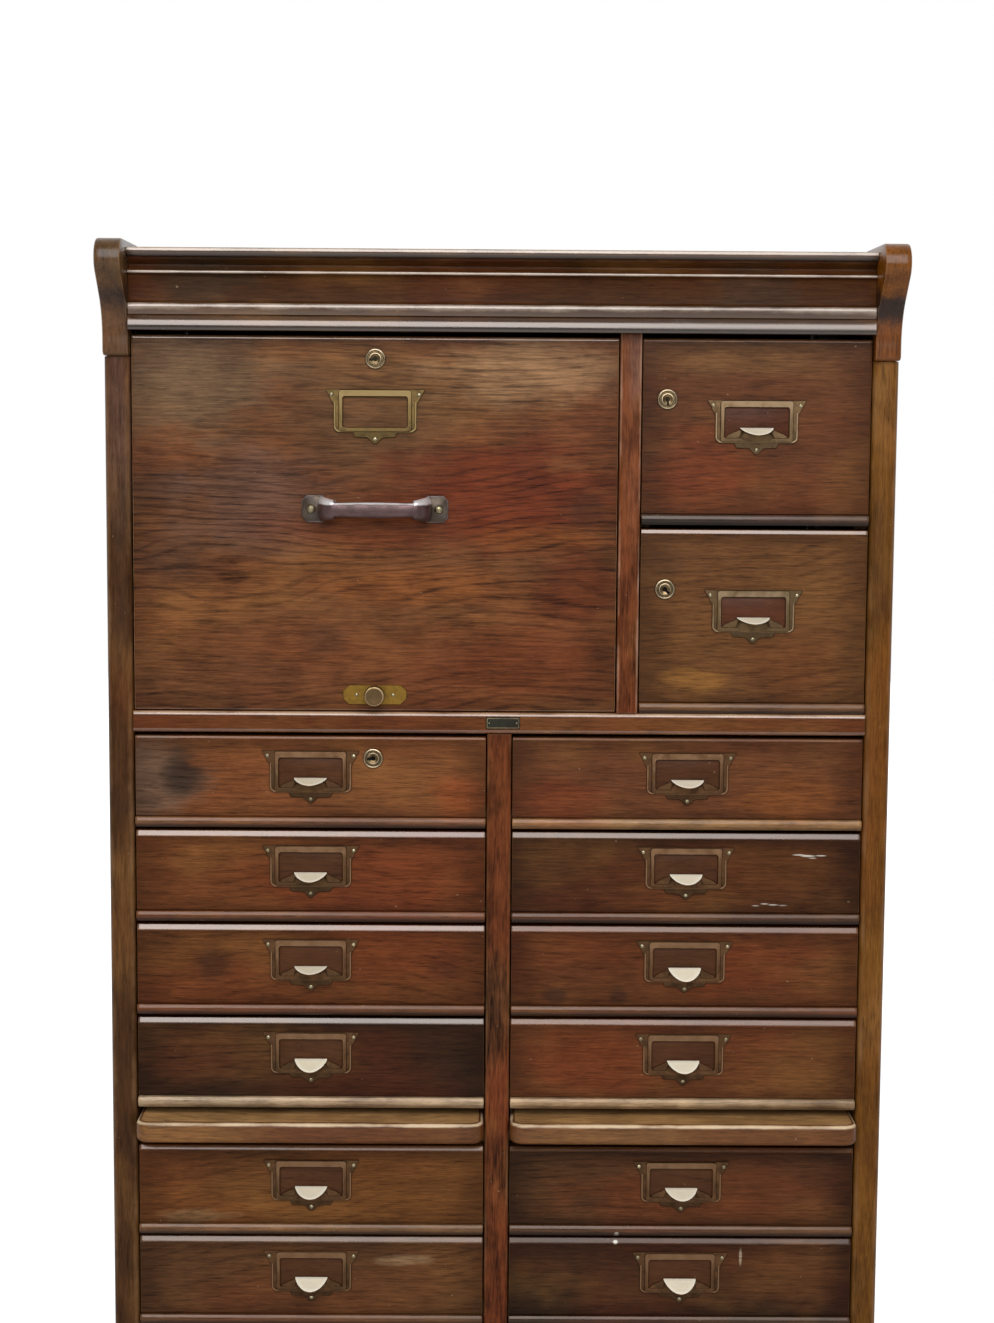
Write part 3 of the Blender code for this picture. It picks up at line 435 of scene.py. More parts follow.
oakUsual = {
    "grain": "x",
    "tone": (112, 64, 36),
    "contrast": 0.44,        # of the fibres, light to dark
    "mottle": 0.20,
    "figure": (1.8, 4.6),    # stretch of the waves in the growth rings, along and across
    "rings": 90.0,           # in a metre
    "waves": 19.0,
    "ringDepth": 0.14,
    "ringShown": (0.40, 0.62),
    "blotchTone": (42, 27, 18),
    "blotch": 0.26,
    "goldTone": (138, 94, 48),
    "gold": 0.28,
    "redTone": (110, 44, 22),
    "red": 0.24,
    # pale tone of rubbed edges, on polished mouldings also a painted highlight
    "wornTone": (150, 112, 76),
    "worn": 0.45,
    "roughness": (0.30, 0.46),
    "specular": 0.10,
    "glossTone": (255, 255, 255),
    "coat": 0.0,
    "dimming": None,         # from where to where along x the gloss goes dull
    "paintedShade": 0.78,            # painted shade, where wear is negative
    "bump": 0.18,
    "pores": 0.26,
    "flecks": 0.24,          # pale rays between the fibres
    "seed": 0,
    "patches": (),
    "border": None,          # low and high corner of a front, darkened by handling along its edges
    "grime": 0.42,
}
polished = {"specular": 1.0, "glossTone": (255, 240, 228), "coat": 0.8, "roughness": (0.13, 0.21), "bump": 0.05}

# noise in the oak: scale along and across the grain, detail, roughness
oakLayers = {
    "shown": (2.6, 6.0, 2.0, 0.5),       # where the growth rings show
    "streak": (20.0, 430.0, 3.0, 0.65),
    "fibre": (60.0, 950.0, 2.0, 0.6),
    "dash": (80.0, 1300.0, 1.0, 0.5),    # pores and flecks
    "mottle": (24.0, 42.0, 3.0, 0.6),
    "blotch": (6.0, 10.0, 3.0, 0.55),
    "gold": (6.5, 12.0, 3.0, 0.55, 0.3),
    "red": (4.2, 8.0, 2.0, 0.5),
    "ragged": (18.0, 45.0, 4.0, 0.65),   # frays stains and worn edges
    "speck": (190.0, 260.0, 1.0, 0.5),
}


def stretchAlong(grain, along, across):
    return {"x": (along, across, across), "y": (across, along, across), "z": (across, across, along)}[grain]


def oakFinish(name, **changes):
    look = {**oakUsual, **changes}
    finish, tree, shader = newFinish(name)
    grain, seed = look["grain"], look["seed"]
    shift = (0.37 * seed + 0.11, 0.53 * seed + 0.29, 0.71 * seed + 0.17)
    home = put(tree, "ShaderNodeTexCoord").outputs["Object"]
    place = put(tree, "ShaderNodeMapping", {"Vector": home, "Location": shift}).outputs[0]
    noise = {}
    for key, (along, across, *kind) in oakLayers.items():
        start = home if key == "gold" else place    # gold runs on from board to board
        noise[key] = cloud(tree, start, stretchAlong(grain, along, across), *kind)

    # growth rings, pores and rays
    figure = cloud(tree, place, stretchAlong(grain, *look["figure"]), 2.6, 0.5, 0.2)
    ringWay = {"x": (0.0, 0.4, 1.0), "y": (0.4, 0.0, 1.0), "z": (1.0, 0.4, 0.0)}[grain]
    depth = vectorSums(tree, "DOT_PRODUCT", place, ringWay, "Value")
    phase = plus(tree, times(tree, depth, look["rings"]), times(tree, figure, look["waves"]))
    wave = sums(tree, "SINE", times(tree, phase, 2 * math.pi))
    rings = times(tree, spread(tree, wave, 0.35, 1.0), spread(tree, noise["shown"], *look["ringShown"]))
    pores = spread(tree, plus(tree, noise["dash"], times(tree, rings, 0.06)), 0.57, 0.68)
    flecks = spread(tree, noise["dash"], 0.40, 0.30)
    fibres = plus(tree, times(tree, noise["streak"], 0.62), times(tree, noise["fibre"], 0.38))
    mottle = spread(tree, noise["mottle"], 0.32, 0.68)
    blotch = spread(tree, noise["blotch"], 0.50, 0.74)
    ragged = minus(tree, noise["ragged"], 0.5)

    # stains
    colour = layTone(tree, tone(*look["tone"]), spread(tree, noise["gold"], 0.46, 0.70), look, "gold")
    colour = layTone(tree, colour, spread(tree, noise["red"], 0.45, 0.68), look, "red")
    colour = layTone(tree, colour, blotch, look, "blotch")
    for patch in look["patches"]:
        rough = times(tree, ragged, patch["ragged"])
        share = times(tree, patchShare(tree, home, patch["at"], patch["half"], rough), patch["share"])
        colour = blendTone(tree, share, colour, tone(*patch["tone"]))

    # light and dark of the grain, grime and painted shade
    half = look["contrast"] / 2
    shade = spread(tree, fibres, 0.36, 0.64, 1 - half, 1 + half)
    shade = plus(tree, shade, times(tree, minus(tree, mottle, 0.5), look["mottle"]))
    shade = minus(tree, shade, times(tree, rings, look["ringDepth"]))
    shade = minus(tree, shade, times(tree, pores, look["pores"]))
    shade = plus(tree, shade, times(tree, flecks, look["flecks"]))
    if look["border"]:
        dirt = times(tree, borderShare(tree, home, look["border"], ragged), look["grime"])
        shade = times(tree, shade, minus(tree, 1.0, dirt))
    rubAndShade = put(tree, "ShaderNodeAttribute", attribute_name="wearAndShade").outputs["Fac"]
    shade = times(tree, shade, minus(tree, 1.0, paintedShadeShare(tree, rubAndShade, look["paintedShade"])))
    warmer = {0: shade, 1: sums(tree, "POWER", shade, 1.06), 2: sums(tree, "POWER", shade, 1.1)}
    colour = blendTone(tree, 1.0, colour, put(tree, "ShaderNodeCombineColor", warmer).outputs[0], "MULTIPLY")

    # pale specks, and rubbed edges that on polished mouldings also serve as painted highlight
    colour = blendTone(tree, spread(tree, noise["speck"], 0.785, 0.825, 0.0, 0.4), colour, tone(162, 138, 108))
    rubbedAndLit = spread(tree, plus(tree, rubAndShade, times(tree, ragged, 1.7)), 0.35, 1.05)
    colour = layTone(tree, colour, times(tree, rubbedAndLit, rubAndShade), look, "worn")
    tree.links.new(colour, shader.inputs["Base Color"])

    dull = plus(tree, times(tree, fibres, 0.5), times(tree, blotch, 0.4))
    gloss = spread(tree, dull, 0.15, 0.75, *look["roughness"])
    if look["dimming"]:
        along = put(tree, "ShaderNodeSeparateXYZ", {0: home}).outputs["X"]
        gloss = plus(tree, gloss, spread(tree, along, *look["dimming"], 0.0, 0.17))
    tree.links.new(gloss, shader.inputs["Roughness"])
    setSockets(shader, {"Specular IOR Level": look["specular"], "Specular Tint": tone(*look["glossTone"]),
                        "Coat Weight": look["coat"], "Coat Roughness": 0.2})
    height = minus(tree, times(tree, fibres, 0.6), times(tree, pores, 0.5))
    height = minus(tree, height, times(tree, rings, 0.12))
    addBump(tree, shader, height, look["bump"], 0.0006)
    return finish


metalUsual = {
    "tone": (164, 128, 84),       # clean metal
    "dullTone": (110, 82, 54),    # tarnish
    "greenTone": (98, 88, 58),    # a little verdigris in the hollows
    "brightTone": (214, 186, 140),
    "dirtTone": (40, 32, 22),
    # tone of the painted shade, where wear is negative
    "paintedShadeTone": (28, 22, 16),
    "dull": 0.8,
    "green": 0.3,
    "bright": 0.8,
    "dirt": 0.35,
    "paintedShade": 0.7,                  # painted shade, where wear is negative
    "roughness": (0.28, 0.52),
    "metallic": 1.0,
    "specular": 0.5,
    "grainSize": 90.0,
    "seed": 0,
}


def metalFinish(name, **changes):
    look = {**metalUsual, **changes}
    finish, tree, shader = newFinish(name)
    size, seed = look["grainSize"], look["seed"]
    home = put(tree, "ShaderNodeTexCoord").outputs["Object"]
    place = put(tree, "ShaderNodeMapping", {"Vector": home, "Location": (0.31 * seed, 0.17, 0.23 * seed)}).outputs[0]
    tarnish = cloud(tree, place, [size] * 3, 4.0, 0.6)
    speck = cloud(tree, place, [size * 9] * 3, 2.0, 0.6)
    drift = cloud(tree, place, [14.0] * 3, 2.0, 0.5)
    rubAndShade = put(tree, "ShaderNodeAttribute", attribute_name="wearAndShade").outputs["Fac"]
    rubbedAndLit = spread(tree, plus(tree, rubAndShade, minus(tree, tarnish, 0.5)), 0.3, 0.9)
    colour = layTone(tree, tone(*look["tone"]), spread(tree, tarnish, 0.35, 0.66), look, "dull")
    colour = layTone(tree, colour, spread(tree, drift, 0.45, 0.70), look, "green")
    colour = layTone(tree, colour, spread(tree, speck, 0.60, 0.75), look, "dirt")
    # bright where rubbed, and on the bar handle's top a painted highlight
    colour = layTone(tree, colour, times(tree, rubbedAndLit, sums(tree, "MAXIMUM", rubAndShade, 0.0)), look, "bright")
    colour = blendTone(tree, paintedShadeShare(tree, rubAndShade, look["paintedShade"]), colour, tone(*look["paintedShadeTone"]))
    tree.links.new(colour, shader.inputs["Base Color"])
    tree.links.new(spread(tree, tarnish, 0.3, 0.7, *look["roughness"]), shader.inputs["Roughness"])
    setSockets(shader, {"Metallic": look["metallic"], "Specular IOR Level": look["specular"]})
    addBump(tree, shader, plus(tree, times(tree, tarnish, 0.6), times(tree, speck, 0.25)), 0.12, 0.0004)
    return finish


bareWood = {"roughness": (0.5, 0.7), "specular": 0.25}
cardUsual = {"contrast": 0.2, "specular": 0.1, "gold": 0.05, "red": 0.05}

caseOakX = oakFinish("case_oak_level", tone=(96, 54, 26), seed=1)
caseOakY = oakFinish("case_oak_side_rails", grain="y", tone=(86, 50, 25), seed=2)
caseOakZ = oakFinish("case_oak_side_panels", grain="z", tone=(90, 52, 25), seed=3)
leftUprightOak = oakFinish(
    "left_upright_oak", grain="z", tone=(68, 42, 21), seed=4, gold=0.3, worn=0.6, mottle=0.34,
    patches=(stain((-0.393, -0.19, 1.230), (0.040, 0.060, 0.100), 0.55, (92, 70, 55)),))
rightUprightOak = oakFinish("right_upright_oak", grain="z", tone=(102, 64, 21), seed=5, gold=0.5, worn=0.6,
                            mottle=0.34)
stileOak = oakFinish("rear_stile_oak", grain="z", tone=(86, 50, 25), seed=17)
dividerOak = oakFinish(
    "upper_divider_oak", grain="z", tone=(101, 54, 27), seed=6, mottle=0.65, contrast=0.6, worn=1.0,
    wornTone=(192, 150, 124),
    patches=(stain((0.136, 1.310), (0.012, 0.050), 0.55, (104, 76, 64)),
             stain((0.136, 1.170), (0.010, 0.060), 0.4, (112, 64, 40))))
centreOak = oakFinish("centre_divider_oak", grain="z", tone=(90, 45, 21), seed=6, mottle=0.8, contrast=0.8,
                      blotch=0.5)
waistLook = {"tone": (93, 49, 24), "seed": 7, "blotch": 0.2}
waistOak = oakFinish("waist_oak", **waistLook)
# polished waist edge, its pale worn tone along the top arris partly a painted highlight
waistEdgePaintedHighlight = oakFinish("waist_oak_polished_painted_highlight", worn=1.0, wornTone=(190, 156, 122), **waistLook, **polished)
corniceOak = oakFinish(
    "cornice_oak", tone=(63, 36, 15), seed=8, gold=0.4, red=0.15, specular=0.05,
    patches=(stain((-0.300, 1.390), (0.060, 0.030), 0.6, (52, 42, 30)),
             stain((0.250, 1.388), (0.050, 0.030), 0.6, (58, 44, 32)),
             stain((-0.040, 1.388), (0.100, 0.030), 0.5, (76, 38, 20))))
# polished cornice finish, its pale worn tone a painted highlight on the nosing and the beads
corniceEdgePaintedHighlight = oakFinish("cornice_oak_polished_painted_highlight", tone=(62, 37, 15), seed=8, gold=0.4, red=0.1, worn=0.7,
                        wornTone=(190, 172, 154), dimming=(0.0, 0.24), **polished)
slideOak = oakFinish(
    "slide_oak", tone=(98, 57, 25), seed=10, worn=1.0, wornTone=(234, 206, 166), specular=0.3,
    patches=(stain((-0.330, 0.512), (0.090, 0.016), 0.5, (146, 102, 54)),
             stain((0.120, 0.514), (0.110, 0.014), 0.35, (130, 94, 54))))
# a lighter copy of the slide oak for the top face, painted light where the top faces the lamp
slideTopPaintedLight = oakFinish("slide_top_oak_painted_light", tone=(172, 130, 82), seed=10, worn=1.0, wornTone=(236, 194, 136),
                        specular=0.5, blotch=0.5, mottle=0.4)
runnerOak = oakFinish("runner_oak", grain="y", tone=(140, 106, 66), seed=11, **bareWood)
boxOakY = oakFinish("drawer_side_oak", grain="y", tone=(152, 116, 72), seed=12, blotch=0.15, **bareWood)
boxOakX = oakFinish("drawer_back_oak", tone=(148, 112, 70), seed=13, blotch=0.15, **bareWood)
backOak = oakFinish("back_board_oak", grain="z", tone=(104, 76, 48), seed=14, roughness=(0.55, 0.75), specular=0.2)
# cards in the pull windows, darker than the fronts as painted shade from the frame
flatCardPaintedShade = oakFinish("flat_label_card_painted_shade", tone=(76, 46, 27), seed=15, **cardUsual)
tallCardPaintedShade = oakFinish("card_label_card_painted_shade", tone=(84, 48, 31), seed=16, **cardUsual)

flatBrass = metalFinish("flat_pull_brass", tone=(114, 82, 56), dullTone=(76, 54, 37), greenTone=(76, 66, 44),
                        brightTone=(172, 134, 100))
cardBrass = metalFinish("card_pull_brass", tone=(118, 94, 66), dullTone=(83, 64, 45), greenTone=(84, 74, 54),
                        brightTone=(172, 148, 116), seed=1)
labelBrass = metalFinish("label_holder_brass", tone=(120, 98, 60), dullTone=(84, 67, 42), greenTone=(80, 74, 46),
                         brightTone=(164, 142, 98), seed=2)
# pale cream, not metal, for the lip's upper face: a painted reflection of the sky
lipTopPaintedReflection = metalFinish("lip_top_painted_reflection", tone=(252, 240, 212), dullTone=(238, 220, 186), brightTone=(254, 246, 228),
                       greenTone=(212, 196, 156), metallic=0.0, roughness=(0.3, 0.45), dull=0.4)
lockBrass = metalFinish("lock_brass", tone=(134, 112, 80), dullTone=(82, 65, 45), brightTone=(206, 188, 156), seed=3,
                        roughness=(0.24, 0.42), grainSize=240.0)
# dark bronze whose near-white bright tone is a painted highlight along the handle's top
darkBronzePaintedHighlight = metalFinish("dark_bronze", tone=(98, 75, 74), dullTone=(73, 54, 52), greenTone=(86, 68, 62),
                         brightTone=(236, 230, 228), bright=1.0, seed=4, roughness=(0.28, 0.40), metallic=0.5)
footBronze = metalFinish("foot_bronze", tone=(84, 70, 57), dullTone=(56, 46, 38), greenTone=(66, 56, 44),
                         brightTone=(196, 184, 182), seed=5, metallic=0.55)
plateBrass = metalFinish("rod_plate_brass", tone=(156, 120, 52), dullTone=(108, 82, 38), greenTone=(108, 96, 42),
                         seed=6)
knobBrass = metalFinish("knob_brass", tone=(120, 94, 64), dullTone=(80, 62, 44), seed=7)
screwBrass = metalFinish("screw_brass", tone=(196, 184, 150), dullTone=(122, 108, 78), seed=8, grainSize=300.0)
# near black: painted shadow inside the keyways, and the dark iron of the nail heads
keywayShadowAndNailIron = metalFinish("keyway_shadow_and_nail_iron", tone=(24, 18, 14), dullTone=(16, 12, 10), brightTone=(40, 32, 26),
                         metallic=0.0, specular=0.05)
badgeMetal = metalFinish("badge_metal", tone=(66, 62, 52), dullTone=(40, 38, 32), greenTone=(58, 66, 56), seed=9)
print("finishes made")


# Geometry Nodes for what repeats: screws and nails

def instanceTree(name, build, sockets):
    tree = bpy.data.node_groups.new(name, "GeometryNodeTree")
    tree.interface.new_socket("Geometry", in_out="INPUT", socket_type="NodeSocketGeometry")
    for label, kind in sockets:
        tree.interface.new_socket(label, in_out="INPUT", socket_type=kind)
    tree.interface.new_socket("Geometry", in_out="OUTPUT", socket_type="NodeSocketGeometry")
    entry = put(tree, "NodeGroupInput")
    leave = put(tree, "NodeGroupOutput")
    form, turn = build(tree, entry)
    inputs = {"Points": entry.outputs["Geometry"], "Instance": form, "Rotation": turn}
    placed = put(tree, "GeometryNodeInstanceOnPoints", inputs).outputs[0]
    solid = put(tree, "GeometryNodeRealizeInstances", {0: placed}).outputs[0]
    inputs = {"Geometry": solid, "Material": entry.outputs["Finish"]}
    coloured = put(tree, "GeometryNodeSetMaterial", inputs).outputs[0]
    tree.links.new(coloured, leave.inputs[0])
    return tree


def domeForm(tree, segments, rings, *sizes):
    # ball squashed to three sizes
    ball = put(tree, "GeometryNodeMeshUVSphere", {"Segments": segments, "Rings": rings, "Radius": 1.0}).outputs[0]
    squash = put(tree, "ShaderNodeCombineXYZ", dict(enumerate(sizes))).outputs[0]
    return put(tree, "GeometryNodeTransform", {"Geometry": ball, "Scale": squash}).outputs[0]


def screwForm(tree, entry):
    # slotted dome head that faces the front
    radius, dome = entry.outputs["Head Radius"], entry.outputs["Dome Height"]
    head = domeForm(tree, 20, 12, radius, dome, radius)
    bar = {0: times(tree, radius, 2.4), 1: dome, 2: entry.outputs["Slot Width"]}
    bar = put(tree, "GeometryNodeMeshCube", {"Size": put(tree, "ShaderNodeCombineXYZ", bar).outputs[0]}).outputs[0]
    lift = put(tree, "ShaderNodeCombineXYZ", {1: times(tree, dome, -1.05)}).outputs[0]
    cutter = put(tree, "GeometryNodeTransform", {"Geometry": bar, "Translation": lift}).outputs[0]
    slotted = put(tree, "GeometryNodeMeshBoolean", {0: head, 1: cutter}, operation="DIFFERENCE", solver="EXACT")
    inputs = {1: (0.0, math.pi, 0.0), "Seed": entry.outputs["Seed"]}
    turn = put(tree, "FunctionNodeRandomValue", inputs, data_type="FLOAT_VECTOR")
    return slotted.outputs[0], turn.outputs[0]


def nailForm(tree, entry):
    # low round nail head
    radius, dome = entry.outputs["Head Radius"], entry.outputs["Dome Height"]
    head = domeForm(tree, 10, 6, radius, radius, dome)
    normal = put(tree, "GeometryNodeInputNamedAttribute", {"Name": "out"}, data_type="FLOAT_VECTOR").outputs[0]
    turn = put(tree, "FunctionNodeAlignRotationToVector", {"Vector": normal}, axis="Z").outputs[0]
    return head, turn


screwTree = instanceTree("screw_heads", screwForm, (
    ("Head Radius", "NodeSocketFloat"), ("Dome Height", "NodeSocketFloat"), ("Slot Width", "NodeSocketFloat"),
    ("Seed", "NodeSocketInt"), ("Finish", "NodeSocketMaterial")))
nailTree = instanceTree("nail_heads", nailForm, (
    ("Head Radius", "NodeSocketFloat"), ("Dome Height", "NodeSocketFloat"), ("Finish", "NodeSocketMaterial")))


def repeatAt(name, tree, points, values, body, normals=None):
    places = bpy.data.meshes.new(name + "_places")
    places.from_pydata(points, [], [])
    if normals:
        flat = [value for normal in normals for value in normal]
        places.attributes.new("out", "FLOAT_VECTOR", "POINT").data.foreach_set("vector", flat)
    holder = newObject(name + "_places", places)
    modifier = holder.modifiers.new("repeat", "NODES")
    modifier.node_group = tree
    for item in tree.interface.items_tree:
        if item.in_out == "INPUT" and item.name in values:
            modifier[item.identifier] = values[item.name]
    mesh = meshNow(holder)
    bpy.data.objects.remove(holder, do_unlink=True)
    ridePiece(name, mesh, body, 40)


def addNails(name, spots, normals, radius, dome, finish, body):
    values = {"Head Radius": radius, "Dome Height": dome, "Finish": finish}
    repeatAt(name, nailTree, spots, values, body, normals)


def addScrews(name, spots, radius, dome, slotWidth, seed, body):
    values = {"Head Radius": radius, "Dome Height": dome, "Slot Width": slotWidth, "Seed": seed, "Finish": screwBrass}
    repeatAt(name, screwTree, spots, values, body)


# Case sides, with stiles, rails, panels and drawer runners

sideSettings = {
    "thickness": 0.026,
    "round": 0.008,          # front arrises of the upright
    "stile": 0.062,
    "rail": 0.070,
    "recess": 0.007,         # of the panels
    "bead": 0.005, "beadIn": 0.001, "beadOut": 0.0045, "beadRound": 0.0018,    # quarter round that frames a panel
    "seam": 0.0003,          # between pieces that meet
    "runnerWidth": 0.012, "runnerHeight": 0.0145, "runnerIn": 0.001,
    "runnerStart": 0.022, "runnerEnd": 0.002,    # behind the drawer face, before the back
    "cardRunner": 0.0105,
}


def uprightOutline(left, right, front, back, radius, wearAndShade=0.7):
    outline = arcPoints((left + radius, front + radius), radius, 180, 270, 7, wearAndShade)
    outline += arcPoints((right - radius, front + radius), radius, 270, 360, 7, wearAndShade)
    return outline + [(right, back, 0.0), (left, back, 0.0)]


def runnerTops(cardRow=False):
    lows = [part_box(f"left_drawer_{row + 1}")[0].z for row in range(rowCount)]
    tops = [low + sideSettings["runnerHeight"] for low in lows]
    tops.append(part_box("left_slide")[0].z - sideSettings["seam"])
    if cardRow:
        tops.append(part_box("upper_card_drawer")[0].z + sideSettings["cardRunner"])
    return tops


def addRunners(pile, wall, inward, tops, finish):
    start = drawerFace + sideSettings["runnerStart"]
    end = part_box("back_panel")[0].y - sideSettings["runnerEnd"]
    left, right = sorted((wall - inward * sideSettings["runnerIn"], wall + inward * sideSettings["runnerWidth"]))
    for top in tops:
        softBox(pile, (left, start, top - sideSettings["runnerHeight"]), (right, end, top), finish, 0.0006)


def buildSide(word, hand, uprightFinish):
    low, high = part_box(word + "_side")
    scrollLow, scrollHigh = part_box(word + "_scroll")
    outer = high.x if hand > 0 else low.x
    inner = outer - hand * sideSettings["thickness"]
    left, right = min(outer, inner), max(outer, inner)
    stile, rail, seam, bead = (sideSettings[key] for key in ("stile", "rail", "seam", "bead"))
    foot, top = low.z, high.z
    front, back = low.y + stile, high.y - stile    # between the stiles
    pile = newPile()
    outline = uprightOutline(left, right, low.y, front, sideSettings["round"])
    sweepOutline(pile, outline, foot, scrollLow.z - seam, "z")
    softBox(pile, (left, scrollHigh.y + seam, scrollLow.z - seam), (right, front, top - rail), 0, 0.0003)
    softBox(pile, (left, back, foot), (right, high.y, top), 4)
    rails = ((foot, foot + rail), (waistMiddle - rail / 2, waistMiddle + rail / 2), (top - rail, top))
    for k, (base, head) in enumerate(rails):
        softBox(pile, (left, scrollHigh.y + seam if k == 2 else front, base), (right, back, head), 1)
    panel = outer - hand * sideSettings["recess"]
    panelLeft, panelRight = sorted((panel, inner))
    edgeLeft, edgeRight = sorted((panel - hand * sideSettings["beadIn"], panel + hand * sideSettings["beadOut"]))
    for (_, base), (head, _) in zip(rails, rails[1:]):
        softBox(pile, (panelLeft, front, base), (panelRight, back, head), 2, 0.0004)
        for z0, z1, y0, y1 in ((base, base + bead, front, back), (head - bead, head, front, back),
                               (base, head, front, front + bead), (base, head, back - bead, back)):
            softBox(pile, (edgeLeft, y0, z0), (edgeRight, y1, z1), 1, sideSettings["beadRound"])
    addRunners(pile, inner, -hand, runnerTops(hand > 0), 3)
    makePiece(word + "_side_frame", pile, (uprightFinish, caseOakY, caseOakZ, runnerOak, stileOak), "case",
              (word + "_side",))


buildSide("left", -1, leftUprightOak)
buildSide("right", 1, rightUprightOak)


# Scroll brackets

scrollSettings = {"headRadius": 0.020, "hollowRadius": 0.058, "neckSlope": 45, "footOut": 0.007, "footRound": 0.005}
scrollUsual = {"specular": 0.3, "coat": 0.15, "blotch": 0.45, "mottle": 0.4, "roughness": (0.26, 0.38)}
scrollLooks = {
    # the dark patch at each neck is painted shade under the scroll head
    "left": {"tone": (87, 62, 34), "patches": (
        stain((-0.387, -0.212, 1.372), (0.050, 0.020, 0.018), 0.85, (50, 33, 26)),)},
    "right": {"tone": (110, 62, 9), "patches": (
        stain((0.387, -0.212, 1.366), (0.050, 0.020, 0.022), 0.95, (40, 26, 20)),)},
}


def buildScroll(word):
    low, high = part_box(word + "_scroll")
    radius, hollow = scrollSettings["headRadius"], scrollSettings["hollowRadius"]
    slope = scrollSettings["neckSlope"]
    foot = frameFace - scrollSettings["footOut"]
    outline = arcPoints((low.y + radius, high.z - radius), radius, 90, 180 + slope, 16, 0.25)
    neckY, neckZ = outline[-1][:2]
    lean = math.radians(slope)
    hollowY = foot - hollow
    run = hollowY + hollow * math.cos(lean) - neckY
    hollowZ = neckZ - run / math.tan(lean) - hollow * math.sin(lean)
    outline += arcPoints((hollowY, hollowZ), hollow, slope, 0, 12)
    rounding = scrollSettings["footRound"]
    outline += arcPoints((foot + rounding, low.z + rounding), rounding, 180, 270, 5, 0.5)
    outline += [(high.y, low.z, 0.0), (high.y, high.z, 0.0)]
    pile = newPile()
    sweepOutline(pile, outline, low.x, high.x, "x", 0.0022)
    finish = oakFinish(word + "_scroll_oak", grain="z", seed=9, **scrollLooks[word], **scrollUsual)
    makePiece(word + "_scroll_bracket", pile, (finish,), "case", (word + "_scroll",))


for word in sides:
    buildScroll(word)


# Cornice

corniceSettings = {
    "thickness": 0.020, "drop": 0.0030,
    "nosing": 0.0085, "nosingOut": 0.016, "nosingTurn": (34, 60), "fillet": 0.0022,
    "hollow": 0.0135, "hollowRound": 0.006,
    "bead": 0.0035,
    "bandOut": 0.0088, "band": 0.0110,
    "friezeOut": 0.0045, "coveRound": 0.004, "coveGap": 0.001,
    "lowBead": 0.0040, "lowBeadOut": 0.0016, "lowBeadTurn": (42, 6),
    "torus": 0.0155, "torusOut": 0.0045, "torusTurn": (60, 20), "torusFoot": 0.002,
}


def buildCornice():
    low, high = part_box("cornice")
    top, base = high.z, low.z - corniceSettings["drop"]
    back = frameFace + corniceSettings["thickness"]
    nose = frameFace - corniceSettings["nosingOut"]
    band = frameFace - corniceSettings["bandOut"]
    frieze = frameFace - corniceSettings["friezeOut"]
    nosing, bead, lowBead, torus = (corniceSettings[key] for key in ("nosing", "bead", "lowBead", "torus"))
    hollow, cove, gap = (corniceSettings[key] for key in ("hollowRound", "coveRound", "coveGap"))
    nosingFoot = top - nosing
    hollowFoot = nosingFoot - corniceSettings["hollow"]
    bandTop = base + torus + corniceSettings["band"]
    outline = [(back, top, 0.0)]
    # nosing: painted highlight on its top, painted shade below
    outline += wearAboveShadeBelow(swellArc(nose, nosingFoot, nosing, corniceSettings["nosingTurn"], 10), 1.0, 3, 0.5)
    outline += [(nose + nosing, nosingFoot, 0.0), (nose + nosing, nosingFoot - corniceSettings["fillet"], 0.0)]
    outline += arcPoints((frameFace - hollow, hollowFoot + hollow), hollow, 0, -80, 6)[:-1]
    outline += arcPoints((band, hollowFoot - bead / 2), bead / 2, 90, 270, 8, 1.0)
    outline += arcPoints((frieze - cove, hollowFoot - 2 * bead - gap), cove, 80, 0, 6)
    outline += arcPoints((frieze - cove, bandTop + bead + gap), cove, 0, -80, 6)
    # low bead given high wear, a painted highlight line
    around = swellArc(band - corniceSettings["lowBeadOut"], bandTop - lowBead, lowBead,
                      corniceSettings["lowBeadTurn"], 8)
    outline += [(u, v, 0.8) for u, v, _ in around]
    outline += [(band, base + torus, 0.0)]
    # torus: painted shade on its lower part
    around = swellArc(band - corniceSettings["torusOut"], base, torus, corniceSettings["torusTurn"], 16)
    outline += wearAboveShadeBelow(around, 0.3, 9, 0.35)
    outline += [(band + corniceSettings["torusFoot"], base, 0.0), (back, base, 0.0)]
    pile = newPile()
    sweepOutline(pile, outline, low.x, high.x, "x", 0.0003, 1)
    makePiece("cornice_moulding", pile, (corniceOak, corniceEdgePaintedHighlight), "case", ("cornice",))


buildCornice()
print("sides, brackets and cornice made")


# Top boards, back boards, bottom board

boardSettings = {"topBoards": 3, "backBoards": 7, "bottomBoards": 3, "gap": 0.0008, "lining": 0.002}


def buildBoards(name, node, count, axis, finish, lineAxis, lineSide, setIn=0.0):
    # boards side by side with a thin lining behind their joints, lineSide is the face it lies on
    low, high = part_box(node)
    pile = newPile()
    lining, gap = boardSettings["lining"], boardSettings["gap"] / 2
    outLow, outHigh = Vector(low), Vector(high)
    lineLow, lineHigh = Vector(low), Vector(high)
    if lineSide < 0:
        outLow[lineAxis] += lining / 2
        outHigh[lineAxis] -= setIn
        lineHigh[lineAxis] = low[lineAxis] + lining
    else:
        outHigh[lineAxis] -= lining / 2
        lineLow[lineAxis] = high[lineAxis] - lining
    width = (high[axis] - low[axis]) / count
    for k in range(count):
        start, end = Vector(outLow), Vector(outHigh)
        start[axis] = low[axis] + k * width + (gap if k else 0.0)
        end[axis] = low[axis] + (k + 1) * width - (gap if k < count - 1 else 0.0)
        softBox(pile, start, end, 0, 0.0012)
    softBox(pile, lineLow, lineHigh, 0, 0.0003)
    makePiece(name, pile, (finish,), "case", (node,))


